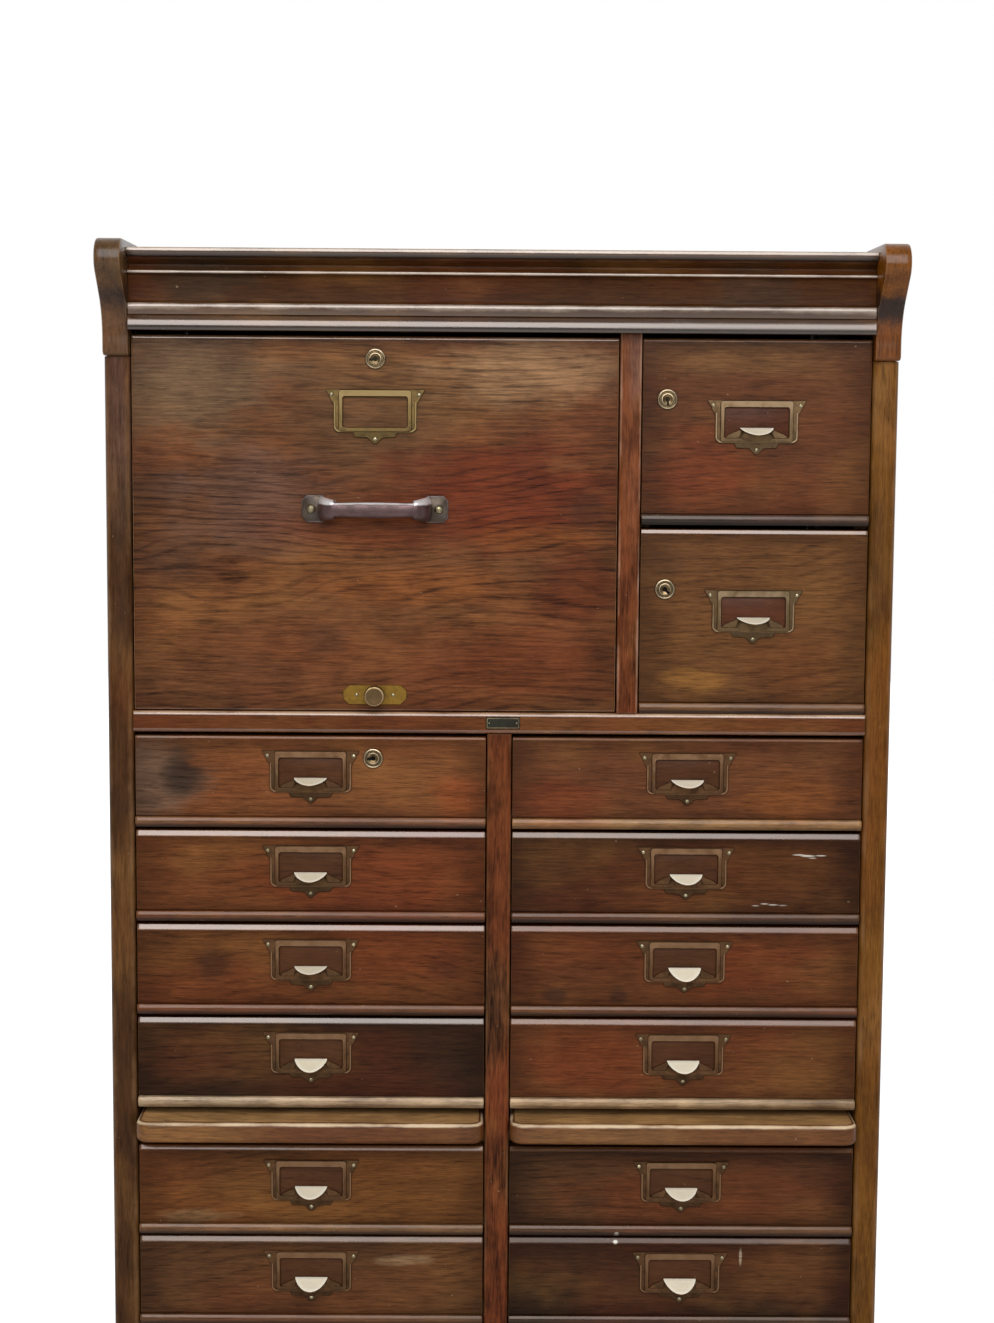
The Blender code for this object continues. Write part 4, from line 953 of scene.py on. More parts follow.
nailSettings = {"radius": 0.0022, "dome": 0.0006, "edge": 0.012, "acrossBoard": (0.2, 0.8), "setIn": 0.0008}

buildBoards("top_boards", "top_board", boardSettings["topBoards"], 1, caseOakX, 2, -1)
buildBoards("back_boards", "back_panel", boardSettings["backBoards"], 0, backOak, 1, -1,
            nailSettings["setIn"])
buildBoards("bottom_boards", "bottom_board", boardSettings["bottomBoards"], 1, boxOakX, 2, 1)


def buildBackNails():
    low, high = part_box("back_panel")
    count, edge = boardSettings["backBoards"], nailSettings["edge"]
    spots = []
    for k in range(count):
        for share in nailSettings["acrossBoard"]:
            x = low.x + (high.x - low.x) * (k + share) / count
            spots += [(x, high.y - nailSettings["setIn"], z) for z in (low.z + edge, waistMiddle, high.z - edge)]
    addNails("back_nails", spots, [(0.0, 1.0, 0.0)] * len(spots), nailSettings["radius"], nailSettings["dome"],
             keywayShadowAndNailIron, "case")


buildBackNails()


# Waist board with its bare name plate, dividers, mortises that the lock cams turn into

waistSettings = {"round": 0.004, "topWearAndHighlight": 0.9, "footWear": 0.4}
mortiseSettings = {"reach": 0.033, "side": 0.005, "room": 0.003, "front": 0.020, "back": 0.027}


def lockCentre(body):
    return Vector(next(joint["pos_m"] for joint in frame["joints"] if joint["child"] == body))


def buildWaist():
    low, high = waistLow, waistHigh
    radius = waistSettings["round"]
    outline = arcPoints((low.y + radius, high.z - radius), radius, 90, 180, 7, waistSettings["topWearAndHighlight"])
    outline += arcPoints((low.y + radius, low.z + radius), radius, 180, 270, 7, waistSettings["footWear"])
    outline += [(high.y, low.z, 0.0), (high.y, high.z, 0.0)]
    pile = newPile()
    sweepOutline(pile, outline, low.x, high.x, "x", 0.0003, 1)
    lock, reach, room = lockCentre("flat_lock"), mortiseSettings["reach"], mortiseSettings["room"]
    pocket = ((lock.x - reach, lock.y + mortiseSettings["front"], low.z - room),
              (lock.x + mortiseSettings["side"] + room, lock.y + mortiseSettings["back"], lock.z + reach + room))
    makePiece("waist_rail", pile, (waistOak, waistEdgePaintedHighlight), "case", ("waist_board",), pockets=(pocket,))


badgeSettings = {
    "width": 0.035, "height": 0.0125, "thick": 0.0011, "x": 0.0035, "lift": 0.0005, "corner": 0.0016,
    "rimIn": 0.001, "rimCorner": 0.0012, "rimWide": 0.0008, "rimOut": 0.0003, "rimFoot": 0.0002,
    "pinRadius": 0.0009, "pinDome": 0.0006, "pinIn": 0.0035,
}


def buildBadge():
    x, middle = badgeSettings["x"], waistMiddle + badgeSettings["lift"]
    half, tall = badgeSettings["width"] / 2, badgeSettings["height"] / 2
    face, rimIn = frameFace - badgeSettings["thick"], badgeSettings["rimIn"]
    pile = newPile()
    outline = roundedRectangle((x - half, middle - tall), (x + half, middle + tall), badgeSettings["corner"])
    cutPlate(pile, outline, None, frameFace, face)
    rim = roundedRectangle((x - half + rimIn, middle - tall + rimIn), (x + half - rimIn, middle + tall - rimIn),
                           badgeSettings["rimCorner"])
    inside = insetOutline(rim, badgeSettings["rimWide"])
    foot, out = face + badgeSettings["rimFoot"], face - badgeSettings["rimOut"]
    bm = newMesh()
    rings = levelRings(bm, ((rim, foot, 0.6), (rim, out, 0.6), (inside, out, 0.6), (inside, foot, 0.6)))
    bridgeRings(bm, rings + [rings[0]])
    addMesh(pile, bm)
    makePiece("bare_name_plate", pile, (badgeMetal,), "case", ())
    pins = [(x + side * (half - badgeSettings["pinIn"]), face, middle) for side in (-1, 1)]
    addNails("name_plate_pins", pins, [(0.0, -1.0, 0.0)] * 2, badgeSettings["pinRadius"], badgeSettings["pinDome"],
             screwBrass, "case")


buildWaist()
buildBadge()

dividerSettings = {"centre": 0.025, "upper": 0.022, "round": 0.004}    # thickness of each board


def buildDividers():
    low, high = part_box("centre_divider")
    half = dividerSettings["centre"] / 2
    pile = newPile()
    outline = uprightOutline(-half, half, low.y, high.y, dividerSettings["round"])
    sweepOutline(pile, outline, low.z, high.z, "z", 0.0004)
    addRunners(pile, half, 1, runnerTops(), 1)
    addRunners(pile, -half, -1, runnerTops(), 1)
    makePiece("centre_divider_board", pile, (centreOak, runnerOak), "case", ("centre_divider",))

    low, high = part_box("upper_divider")
    right = low.x + dividerSettings["upper"]
    pile = newPile()
    outline = uprightOutline(low.x, right, low.y, high.y, dividerSettings["round"])
    sweepOutline(pile, outline, low.z, high.z, "z", 0.0004)
    addRunners(pile, right, 1, runnerTops(True)[-1:], 1)
    reach, side, room = (mortiseSettings[key] for key in ("reach", "side", "room"))
    pockets = [((lock.x - reach - room, lock.y + mortiseSettings["front"], lock.z - reach),
                (right + room, lock.y + mortiseSettings["back"], lock.z + side + room))
               for lock in (lockCentre("upper_card_lock"), lockCentre("lower_card_lock"))]
    makePiece("upper_divider_board", pile, (dividerOak, runnerOak), "case", ("upper_divider",),
              pockets=pockets)


buildDividers()


# Plinth

plinthSettings = {"wall": 0.024, "chamfer": 0.008, "foot": 0.001}


def buildPlinth():
    low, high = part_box("plinth")
    wall, chamfer, foot = (plinthSettings[key] for key in ("wall", "chamfer", "foot"))

    def rect(inset, backInset):
        return ((low.x + inset, low.y + inset, 0.0), (high.x - inset, low.y + inset, 0.0),
                (high.x - inset, high.y - backInset, 0.0), (low.x + inset, high.y - backInset, 0.0))

    top = high.z
    levels = ((rect(wall, wall), low.z, 0.0), (rect(foot, foot), low.z, 0.0), (rect(0, 0), low.z + foot, 0.0),
              (rect(0, 0), top - chamfer - 0.0008, 0.0), (rect(0.0005, 0.0), top - chamfer, 0.9),
              (rect(chamfer - 0.0008, 0.0), top - 0.0005, 0.0), (rect(chamfer, 0.0), top, 0.3),
              (rect(wall, wall), top, 0.0))
    bm = newMesh()
    rings = levelRings(bm, levels, "z")
    bridgeRings(bm, rings + [rings[0]])
    for face in bm.faces:
        middle = face.calc_center_median()
        onEnd = abs(middle.x) > abs(high.x) - wall - 0.001 and abs(middle.y) < high.y - wall
        face.material_index = 1 if onEnd else 0
    pile = newPile()
    addMesh(pile, bm)
    makePiece("plinth_frame", pile, (caseOakX, caseOakY), "case", ("plinth",))


buildPlinth()
print("case made")


# Drawers: moulded front, box with nailed sides

drawerSettings = {
    "front": 0.020, "lift": 0.0006, "ease": 0.001,
    "bandSpan": 7, "bandFoot": 0.0004, "nose": 0.0016,
    "bead": 0.0105, "beadOut": 0.005, "beadTurn": (40, 45), "quirk": 0.0012,
    "plainFoot": 0.0015, "plainGap": 0.0008,    # of the front without a bead
    "inset": 0.004, "wall": 0.010, "floor": 0.006, "housing": 0.002, "boxRound": 0.0012,
    "nailStep": 0.024, "nailRadius": 0.0016, "nailDome": 0.0004, "nailIn": 0.008,
}

# tone of each front, share of gloss on its top edge, worn bead, stains and rubbed marks
darkStain, paleScuff, redGlow, goldGlow = (40, 26, 20), (214, 206, 192), (116, 50, 24), (144, 98, 46)
whiteSpot = (240, 234, 218)


def scuffMarks(at, strokes):
    # broken pale scratch, each stroke is (along, up, half length, half width, share)
    return tuple(stain((at[0] + x, at[1] + z), (long, wide), share, paleScuff, 1.2)
                 for x, z, long, wide, share in strokes)


frontLooks = {
    "left_drawer_1": {"tone": (114, 69, 37), "gloss": 0.28, "gold": 0.3, "patches": (
        stain((-0.360, 0.880), (0.060, 0.050), 0.7, (104, 85, 69)),
        stain((-0.326, 0.888), (0.024, 0.030), 0.75, (40, 30, 24)),
        stain((-0.042, 0.862), (0.030, 0.026), 0.4, (150, 72, 34)))},
    "left_drawer_2": {"tone": (100, 56, 27), "patches": (
        stain((-0.120, 0.775), (0.130, 0.050), 0.3, redGlow),)},
    "left_drawer_3": {"tone": (95, 54, 25), "patches": (
        stain((-0.294, 0.686), (0.022, 0.020), 0.5, darkStain),
        stain((-0.056, 0.686), (0.020, 0.020), 0.55, darkStain),
        stain((-0.100, 0.700), (0.110, 0.040), 0.35, redGlow))},
    "left_drawer_4": {"tone": (54, 31, 15), "gloss": 0.9, "blotch": 0.4, "bead": (180, 154, 120), "patches": (
        stain((-0.310, 0.590), (0.060, 0.035), 0.45, (92, 50, 26)),)},
    "left_drawer_5": {"tone": (103, 63, 29), "gloss": 0.6, "gold": 0.35, "bead": (112, 78, 48), "patches": (
        stain((-0.312, 0.418), (0.040, 0.007), 0.3, (160, 130, 92), 2.6),)},
    "left_drawer_6": {"tone": (86, 55, 31), "gloss": 0.55, "patches": (
        stain((-0.098, 0.372), (0.030, 0.006), 0.4, (160, 132, 98), 2.6),)},
    "left_drawer_7": {"tone": (88, 53, 28), "gloss": 0.5},
    "left_drawer_8": {"tone": (82, 49, 26), "gloss": 0.5},
    "right_drawer_1": {"tone": (96, 56, 32), "gloss": 0.15, "blotch": 0.2, "bead": (140, 102, 62), "patches": (
        stain((0.060, 0.855), (0.060, 0.030), 0.45, redGlow),
        stain((0.300, 0.862), (0.060, 0.030), 0.4, (136, 78, 34)))},
    "right_drawer_2": {"tone": (65, 36, 18), "gloss": 0.7, "patches": (
        stain((0.280, 0.785), (0.080, 0.040), 0.4, (104, 62, 28)),
        *scuffMarks((0.322, 0.804), ((-0.013, 0.0012, 0.006, 0.0008, 0.65), (-0.003, 0.0, 0.007, 0.0011, 0.75),
                                     (0.010, 0.0004, 0.006, 0.0008, 0.65), (0.002, -0.0022, 0.004, 0.0006, 0.5))),
        *scuffMarks((0.282, 0.7526), ((-0.016, -0.001, 0.004, 0.0007, 0.5), (-0.007, 0.001, 0.005, 0.0009, 0.6),
                                      (0.002, 0.0, 0.006, 0.0009, 0.65), (0.012, -0.0005, 0.005, 0.0007, 0.55))))},
    "right_drawer_3": {"tone": (90, 50, 24), "gloss": 0.5, "patches": (
        stain((0.062, 0.655), (0.014, 0.010), 0.6, darkStain),
        stain((0.125, 0.655), (0.012, 0.010), 0.55, darkStain),
        stain((0.250, 0.690), (0.100, 0.040), 0.4, redGlow))},
    "right_drawer_4": {"tone": (96, 54, 27), "gloss": 0.55, "bead": (176, 146, 108), "patches": (
        stain((0.330, 0.585), (0.050, 0.050), 0.45, (98, 64, 30)),
        stain((0.100, 0.580), (0.080, 0.040), 0.4, redGlow))},
    "right_drawer_5": {"tone": (77, 49, 27), "gloss": 0.06, "grime": 0.6, "patches": (
        stain((0.190, 0.440), (0.140, 0.034), 0.5, (108, 54, 26)),
        stain((0.1262, 0.4020), (0.0026, 0.0024), 1.0, whiteSpot, 0.5))},
    "right_drawer_6": {"tone": (48, 33, 19), "gloss": 0.28, "patches": (
        stain((0.1255, 0.3915), (0.0026, 0.0020), 1.0, whiteSpot, 0.5),
        stain((0.257, 0.376), (0.0016, 0.010), 0.7, (176, 158, 132), 0.9))},
    "right_drawer_7": {"tone": (78, 47, 26), "gloss": 0.4},
    "right_drawer_8": {"tone": (84, 49, 27), "gloss": 0.4},
    "upper_card_drawer": {"tone": (93, 54, 29), "gloss": 0.3, "bead": (46, 36, 31), "patches": (
        stain((0.200, 1.200), (0.060, 0.050), 0.45, redGlow),
        stain((0.240, 1.315), (0.130, 0.024), 0.45, (112, 80, 46)))},
    "lower_card_drawer": {"tone": (99, 63, 34), "patches": (
        stain((0.200, 0.985), (0.040, 0.014), 0.6, goldGlow),
        stain((0.300, 1.000), (0.060, 0.040), 0.4, (96, 50, 24)))},
    "file_drawer": {
        "tone": (103, 63, 35), "ringDepth": 0.31, "ringShown": (0.37, 0.58), "mottle": 0.34, "grime": 0.3,
        "contrast": 0.54, "pores": 0.20, "worn": 0.9, "wornTone": (172, 136, 102), "patches": (
            # the first three patches, pale ones near the top, are painted reflection of a bright horizon; the others
            # are stains
            stain((-0.315, 1.290), (0.100, 0.075), 0.6, (100, 83, 62)),
            stain((-0.130, 1.250), (0.110, 0.080), 0.45, (84, 64, 40)),
            stain((0.030, 1.300), (0.110, 0.040), 0.75, (142, 107, 74)),
            stain((-0.330, 1.110), (0.045, 0.030), 0.55, (66, 46, 34)),
            stain((-0.340, 1.180), (0.040, 0.020), 0.5, (60, 44, 34)),
            stain((-0.250, 1.170), (0.090, 0.060), 0.55, (97, 72, 59)),
            stain((0.010, 1.180), (0.150, 0.060), 0.75, (98, 37, 17)),
            stain((0.085, 1.160), (0.022, 0.022), 0.6, (64, 36, 22)),
            stain((-0.080, 1.080), (0.120, 0.022), 0.5, (128, 72, 32)),
            stain((-0.120, 1.140), (0.120, 0.026), 0.45, (104, 46, 22)),
            stain((0.050, 1.130), (0.080, 0.014), 0.5, (128, 70, 30)),
            stain((0.040, 1.000), (0.130, 0.050), 0.55, (92, 42, 20)),
            stain((0.075, 1.080), (0.050, 0.050), 0.6, (82, 31, 14)),
            stain((-0.180, 1.025), (0.030, 0.020), 0.4, (72, 48, 34)))},
}


def frontOutline(face, foot, top, bead, band, turn):
    # from the back of the foot, over the pillowed top edge and down the face
    back, ease, nose = face + drawerSettings["front"], drawerSettings["ease"], drawerSettings["nose"]
    low, high = turn - drawerSettings["bandSpan"], turn + drawerSettings["bandSpan"]
    outline = [(back, foot, 0.0), (back, top - ease, 0.0), (back - ease, top, 0.0)]
    turnLow, turnHigh = math.radians(low), math.radians(high)
    bulge = band / (math.sin(turnHigh) - math.sin(turnLow))
    depth = bulge * (math.cos(turnLow) - math.cos(turnHigh))
    noseFoot = top - nose * (1 - math.sin(turnHigh))
    outline += arcPoints((face + depth + nose * math.cos(turnHigh), top - nose), nose, 90, 180 - high, 4)
    bandCentre = (face + bulge * math.cos(turnLow), noseFoot - bulge * math.sin(turnHigh))
    # the glossy band takes some wear, lightening it partly as real wear, partly as painted highlight
    outline += [(u, v, 0.5) for u, v, _ in arcPoints(bandCentre, bulge, 180 - high, 180 - low, 5)][1:]
    outline += [(face, noseFoot - band - drawerSettings["bandFoot"], 0.0)]
    if bead:
        height, quirk = drawerSettings["bead"], drawerSettings["quirk"]
        outline += [(face, foot + height + quirk, 0.0), (face + quirk, foot + height + quirk * 0.2, 0.0)]
        around = swellArc(face - drawerSettings["beadOut"], foot, height, drawerSettings["beadTurn"], 12)
        # upper part of the bead lighter, lower part painted shade
        outline += wearAboveShadeBelow(around, 0.5, 3, 0.25)
        outline += [(face + ease, foot, 0.0)]
    else:
        radius = drawerSettings["plainFoot"]
        outline += arcPoints((face + radius, foot + radius), radius, 180, 270, 4, 0.8)
    return outline


def drawerFinishes(node, low, high):
    # field, box sides, box back and floor, polished top edge, bead
    look = {**frontLooks[node], "seed": 20 + sorted(frontLooks).index(node)}
    beadTone, gloss = look.pop("bead", None), look.pop("gloss", 1.0)
    field = oakFinish(node + "_oak", border=(tuple(low), tuple(high)), **look)
    edgeLook = {**look, **polished, "dimming": (low.x, high.x)}
    edge = oakFinish(node + "_oak_polished", **{**edgeLook, "specular": gloss, "coat": 0.8 * gloss})
    beadLook = {**edgeLook, "roughness": (0.15, 0.24), "specular": 0.46, "coat": 0.0}
    if beadTone:
        # a pale bead gets less painted shade on its lower half than a dark one
        paintedShade = 0.45 if max(beadTone) > 130 else oakUsual["paintedShade"]
        beadLook.update({"tone": beadTone, "mottle": 0.5, "blotch": 0.5, "paintedShade": paintedShade})
    return field, boxOakY, boxOakX, edge, oakFinish(node + "_bead_oak", **beadLook)


def buildDrawer(node, base, boxHeight, bead, band, turn):
    low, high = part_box(node)
    foot, top = low.z if bead else waistHigh.z + drawerSettings["plainGap"], high.z + drawerSettings["lift"]
    finishes = drawerFinishes(node, low, high)
    pile = newPile()
    sweepOutline(pile, frontOutline(drawerFace, foot, top, bead, band, turn), low.x, high.x, "x", 0.0010, 3)
    beadTop = foot + drawerSettings["bead"] + drawerSettings["quirk"]
    for k, corners in enumerate(pile["faces"]):
        if bead and pile["finish"][k] == 3 and max(pile["points"][corner][2] for corner in corners) < beadTop:
            pile["finish"][k] = 4
    inset, wall, housing = (drawerSettings[key] for key in ("inset", "wall", "housing"))
    ease, rounding = drawerSettings["ease"], drawerSettings["boxRound"]
    left, right = low.x + inset, high.x - inset
    start, back, head = drawerFace + drawerSettings["front"] - ease, high.y, base + boxHeight
    softBox(pile, (left, start, base), (left + wall, back, head), 1, rounding)
    softBox(pile, (right - wall, start, base), (right, back, head), 1, rounding)
    innerLeft, innerRight = left + wall - housing, right - wall + housing
    softBox(pile, (innerLeft, back - wall, base), (innerRight, back - 0.0006, head - 0.004), 2, rounding)
    floorLift = 0.0 if base < foot else 0.002
    softBox(pile, (innerLeft, start, base + floorLift),
            (innerRight, back - wall + housing, base + drawerSettings["floor"]), 2, 0.0004)
    makePiece(node + "_front_and_box", pile, finishes, node, (node,), finishLines=True)
    spots, normals = [], []
    count = max(2, int(boxHeight / drawerSettings["nailStep"]))
    for k in range(count):
        z = base + boxHeight * (k + 0.5) / count
        for x, out in ((left, -1.0), (right, 1.0)):
            for y in (start + drawerSettings["nailIn"], back - wall / 2):
                spots.append((x, y, z))
                normals.append((out, 0.0, 0.0))
    addNails(node + "_side_nails", spots, normals, drawerSettings["nailRadius"], drawerSettings["nailDome"],
             keywayShadowAndNailIron, node)


# height of each box and its lift over what carries it, height and turn of the glossy band along a top edge
boxSettings = {
    "flat": 0.060, "flatLift": 0.0148, "card": 0.078, "cardLift": 0.0108, "file": 0.300, "waistLift": 0.0003,
}
bandSettings = {"usual": 0.0052, "rows": {0: 0.0019, 4: 0.0042}, "turn": 20.0, "turnStep": 1.2}

for side in sides:
    for row in range(rowCount):
        node = f"{side}_drawer_{row + 1}"
        buildDrawer(node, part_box(node)[0].z + boxSettings["flatLift"], boxSettings["flat"], True,
                    bandSettings["rows"].get(row, bandSettings["usual"]),
                    bandSettings["turn"] + bandSettings["turnStep"] * row)
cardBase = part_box("upper_card_drawer")[0].z + boxSettings["cardLift"]
waistBase = waistHigh.z + boxSettings["waistLift"]
buildDrawer("upper_card_drawer", cardBase, boxSettings["card"], True, 0.0018, 14.0)
buildDrawer("lower_card_drawer", waistBase, boxSettings["card"], True, 0.0032, 17.0)
buildDrawer("file_drawer", waistBase, boxSettings["file"], False, 0.0018, 14.0)
print("drawers made")


# Reading slides

slideSettings = {"corner": 0.014, "edge": 0.005, "steps": 5, "wearAndShade": 0.9}


def buildSlide(word):
    low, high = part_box(word + "_slide")
    corner, edge, steps = (slideSettings[key] for key in ("corner", "edge", "steps"))
    plan = arcPoints((low.x + corner, low.y + corner), corner, 180, 270, 8)
    plan += arcPoints((high.x - corner, low.y + corner), corner, 270, 360, 8)
    plan += [(high.x, high.y, 0.0), (low.x, high.y, 0.0)]
    bm = newMesh()
    rings = []
    for upper in (False, True):
        for k in range(steps + 1):
            angle = math.pi / 2 * (1 - k / steps if upper else k / steps)
            line = insetOutline(plan, edge * (1 - math.sin(angle)))
            fall = edge * (1 - math.cos(angle))
            z = high.z - fall if upper else low.z + fall
            rubAndShade = slideSettings["wearAndShade"] * math.sin(2 * angle) if upper else 0.0
            rings.append(addRing(bm, [(x, min(y, high.y), z) for x, y, _ in line], [rubAndShade] * len(line)))
    # the top cap takes the lighter copy, painted light
    closeTube(bm, rings)[1].material_index = 1
    pile = newPile()
    addMesh(pile, bm)
    makePiece(word + "_reading_slide", pile, (slideOak, slideTopPaintedLight), word + "_slide", (word + "_slide",))


for word in sides:
    buildSlide(word)


# Label pulls and the label frame, built with the back at y 0 and the foot of the tail at z 0

pullSettings = {
    "width": 0.084, "ear": 0.008, "earHeight": 0.017, "height": 0.055, "tail": 0.0115,
    "tailWidth": 0.043, "plate": 0.0018, "rim": 0.0035, "border": 0.0045,
    "window": (0.065, 0.0305), "windowCorner": 0.0022, "topBorder": 0.0075, "corner": 0.006, "rimCorner": 0.0030,
    "lipWidth": 0.034, "lipReach": 0.0215, "lipThick": 0.0022, "lipRise": 0.0155, "lipEdge": 0.0009,
    "corbelFoot": 0.044, "corbelHead": 0.028, "corbelReach": 0.0105, "wing": 0.0026,
    "screwRadius": 0.0023, "screwDome": 0.0016, "slot": 0.0006, "screwFromEdge": 0.0052, "screwOnEar": 0.0022,
}
windowTop = pullSettings["height"] - pullSettings["topBorder"]
windowFoot = windowTop - pullSettings["window"][1]


def pullOutline():
    half = pullSettings["width"] / 2
    ear = half + pullSettings["ear"]
    foot, top, corner = pullSettings["tail"], pullSettings["height"], pullSettings["corner"]
    tail = pullSettings["tailWidth"] / 2
    earFoot = top - pullSettings["earHeight"]
    right = [(0.0, 0.0), (0.0022, 0.0008), (0.0046, 0.0034), (0.0068, 0.0056), (0.0095, 0.0066), (0.0125, 0.0064),
             (0.0152, 0.0066), (tail - 0.0022, 0.0068), (tail - 0.0006, 0.0076), (tail, 0.0092),
             (tail + 0.0012, foot)]
    right += [(x, z) for x, z, _ in arcPoints((half - corner, foot + corner), corner, 270, 360, 6)]
    right += [(half, earFoot), (half + 0.0008, earFoot + 0.0035), (half + 0.003, earFoot + 0.0068),
              (half + 0.0042, earFoot + 0.0098), (half + 0.0062, earFoot + 0.0132), (ear, top - 0.0008),
              (ear - 0.0006, top)]
    left = [(-x, z) for x, z in reversed(right[1:])]
    return [(x, z, 0.0) for x, z in right + left]


def addWindowRim(pile, window):
    # raised rim round the window, wide along the top, with painted shade toward its foot
    width, height = pullSettings["window"]
    border, plate, rim = (pullSettings[key] for key in ("border", "plate", "rim"))
    outer = roundedRectangle((-width / 2 - border, windowFoot - border),
                             (width / 2 + border, pullSettings["height"] - 0.0004), pullSettings["rimCorner"])
    levels = ((outer, -plate + 0.0002, 0.0), (outer, -rim + 0.0007, 0.2), (insetOutline(outer, 0.0006), -rim, 0.7),
              (insetOutline(window, -0.0007), -rim, 0.7), (insetOutline(window, -0.0001), -rim + 0.0007, 0.2),
              (insetOutline(window, -0.0001), -0.0002, 0.0))
    bm = newMesh()
    rings = []
    for k, (line, y, rubAndShade) in enumerate(levels):
        drop = 0.75 if k < 3 else 0.25
        # wear on the rim, less toward the foot, where it turns into painted shade
        wearAndPaintedLight = [rubAndShade - drop * max(0.0, 1 - (z - windowFoot + border) / height) for _, z, _ in line]
        rings.append(addRing(bm, [(x, y, z) for x, z, _ in line], wearAndPaintedLight))
    bridgeRings(bm, rings + [rings[0]])
    addMesh(pile, bm)


def aheadOf(path, i):
    # way that a path runs at one of its points
    return Vector(path[min(i + 1, len(path) - 1)][:2]) - Vector(path[max(i - 1, 0)][:2])


def addPlateEdge(pile):
    # thin raised edge down the sides and along the foot, its section is (off, lift, wear)
    section = ((-0.0011, 0.0001, 0.0), (-0.0008, -0.0006, 0.5), (0.0, -0.0008, 0.9), (0.0008, -0.0006, 0.5),
               (0.0011, 0.0001, 0.0))
    half, corner = pullSettings["width"] / 2 - 0.0012, pullSettings["corner"] - 0.001
    foot, head = pullSettings["tail"] + 0.0012, pullSettings["height"] - 0.013
    path = [(-half, head)]
    path += [(x, z) for x, z, _ in arcPoints((corner - half, foot + corner), corner, 180, 270, 6)]
    path += [(x, z) for x, z, _ in arcPoints((half - corner, foot + corner), corner, 270, 360, 6)]
    path += [(half, head)]
    bm = newMesh()
    rings = []
    for i, (x, z) in enumerate(path):
        ahead = aheadOf(path, i)
        side = Vector((-ahead.y, ahead.x)).normalized()
        spots = [(x + side.x * off, -pullSettings["plate"] + lift, z + side.y * off) for off, lift, _ in section]
        rings.append(addRing(bm, spots, [rubAndShade for _, _, rubAndShade in section]))
    closeTube(bm, rings)
    addMesh(pile, bm)


def addLabelFrame(pile):
    half = pullSettings["window"][0] / 2
    window = roundedRectangle((-half, windowFoot), (half, windowTop), pullSettings["windowCorner"])
    cutPlate(pile, pullOutline(), window, 0.0, -pullSettings["plate"], 0, 0.0005)
    for k, (_, _, z) in enumerate(pile["points"]):
        # painted shade toward the tail, below the lip
        pile["wearAndShade"][k] -= 0.7 * max(0.0, 1 - max(0.0, z - pullSettings["tail"]) / 0.02)
    addWindowRim(pile, window)
    addPlateEdge(pile)


def addLip(pile, tilt):
    root, rim = pullSettings["tail"] + pullSettings["lipRise"], pullSettings["rim"]
    half, reach = pullSettings["lipWidth"] / 2, pullSettings["lipReach"]
    thick, edge = pullSettings["lipThick"], pullSettings["lipEdge"]
    steps = 24
    disc = []
    for i in range(steps + 1):
        share = -math.cos(math.pi * i / steps)
        disc.append((half * share, -reach * (1 - share * share) ** 0.72, 0.0))
    disc += [(half, 0.0015, 0.0), (-half, 0.0015, 0.0)]
    inner, eased = insetOutline(disc, edge), insetOutline(disc, edge * 0.3)
    levels = ((inner, -thick, 0.0), (eased, -thick + edge * 0.3, 0.3), (disc, -thick + edge, 0.3), (disc, -edge, 0.5),
              (eased, -edge * 0.3, 0.8), (inner, 0.0, 0.8), (insetOutline(disc, 0.005), -0.0005, 0.5))
    bm = newMesh()
    rings = levelRings(bm, levels, "z")
    bm.faces.new(rings[0])
    # the top faces take the lip's painted reflection
    bm.faces.new(rings[-1]).material_index = 1
    bridgeRings(bm, rings[:5])
    bridgeRings(bm, rings[4:], 1)
    turn = Matrix.Translation((0, -rim, root)) @ Matrix.Rotation(math.radians(tilt), 4, "X")
    addMesh(pile, bm, 0, turn)
    addWings(pile, root - thick * 0.5, half)
    addCorbel(pile, root - thick * 0.6, math.tan(math.radians(tilt)))


def addWings(pile, head, lipHalf):
    # flat wings that rise from the window's lower corners to the ends of the lip
    reach, rise = pullSettings["window"][0] / 2, head - windowFoot
    wing = [(reach, windowFoot - 0.0010), (reach - 0.0030, windowFoot + rise * 0.30),
            (reach - 0.0075, windowFoot + rise * 0.55), (lipHalf + 0.0035, windowFoot + rise * 0.74),
            (lipHalf - 0.0005, windowFoot + rise)]
    wing = [(-reach, windowFoot - 0.0010)] + wing + [(-x, z) for x, z in reversed(wing[1:])]
    cutPlate(pile, [(x, z, 0.0) for x, z in wing], None, 0.0, -pullSettings["wing"])


def addCorbel(pile, head, drop):
    # swells from the lower bar up into the lip
    rim, back = pullSettings["rim"], pullSettings["plate"] / 2
    foot = windowFoot - pullSettings["border"]
    headHalf, footHalf = pullSettings["corbelHead"] / 2, pullSettings["corbelFoot"] / 2
    bm = newMesh()
    rings = []
    levelCount, around = 10, 20
    for i in range(levelCount + 1):
        rise = i / levelCount
        wide = headHalf + (footHalf - headHalf) * (1 - rise) ** 1.15
        depth = rim + (pullSettings["corbelReach"] - rim) * rise ** 1.3 - back
        spots = []
        for k in range(around + 1):
            angle = math.pi * k / around
            y = back + depth * math.sin(angle) ** 0.8
            spots.append((wide * math.cos(angle), -y, foot + (head - (y - rim) * drop - foot) * rise))
        rings.append(addRing(bm, spots, [0.25 * math.sin(math.pi * rise)] * len(spots)))
    closeTube(bm, rings)
    addMesh(pile, bm)


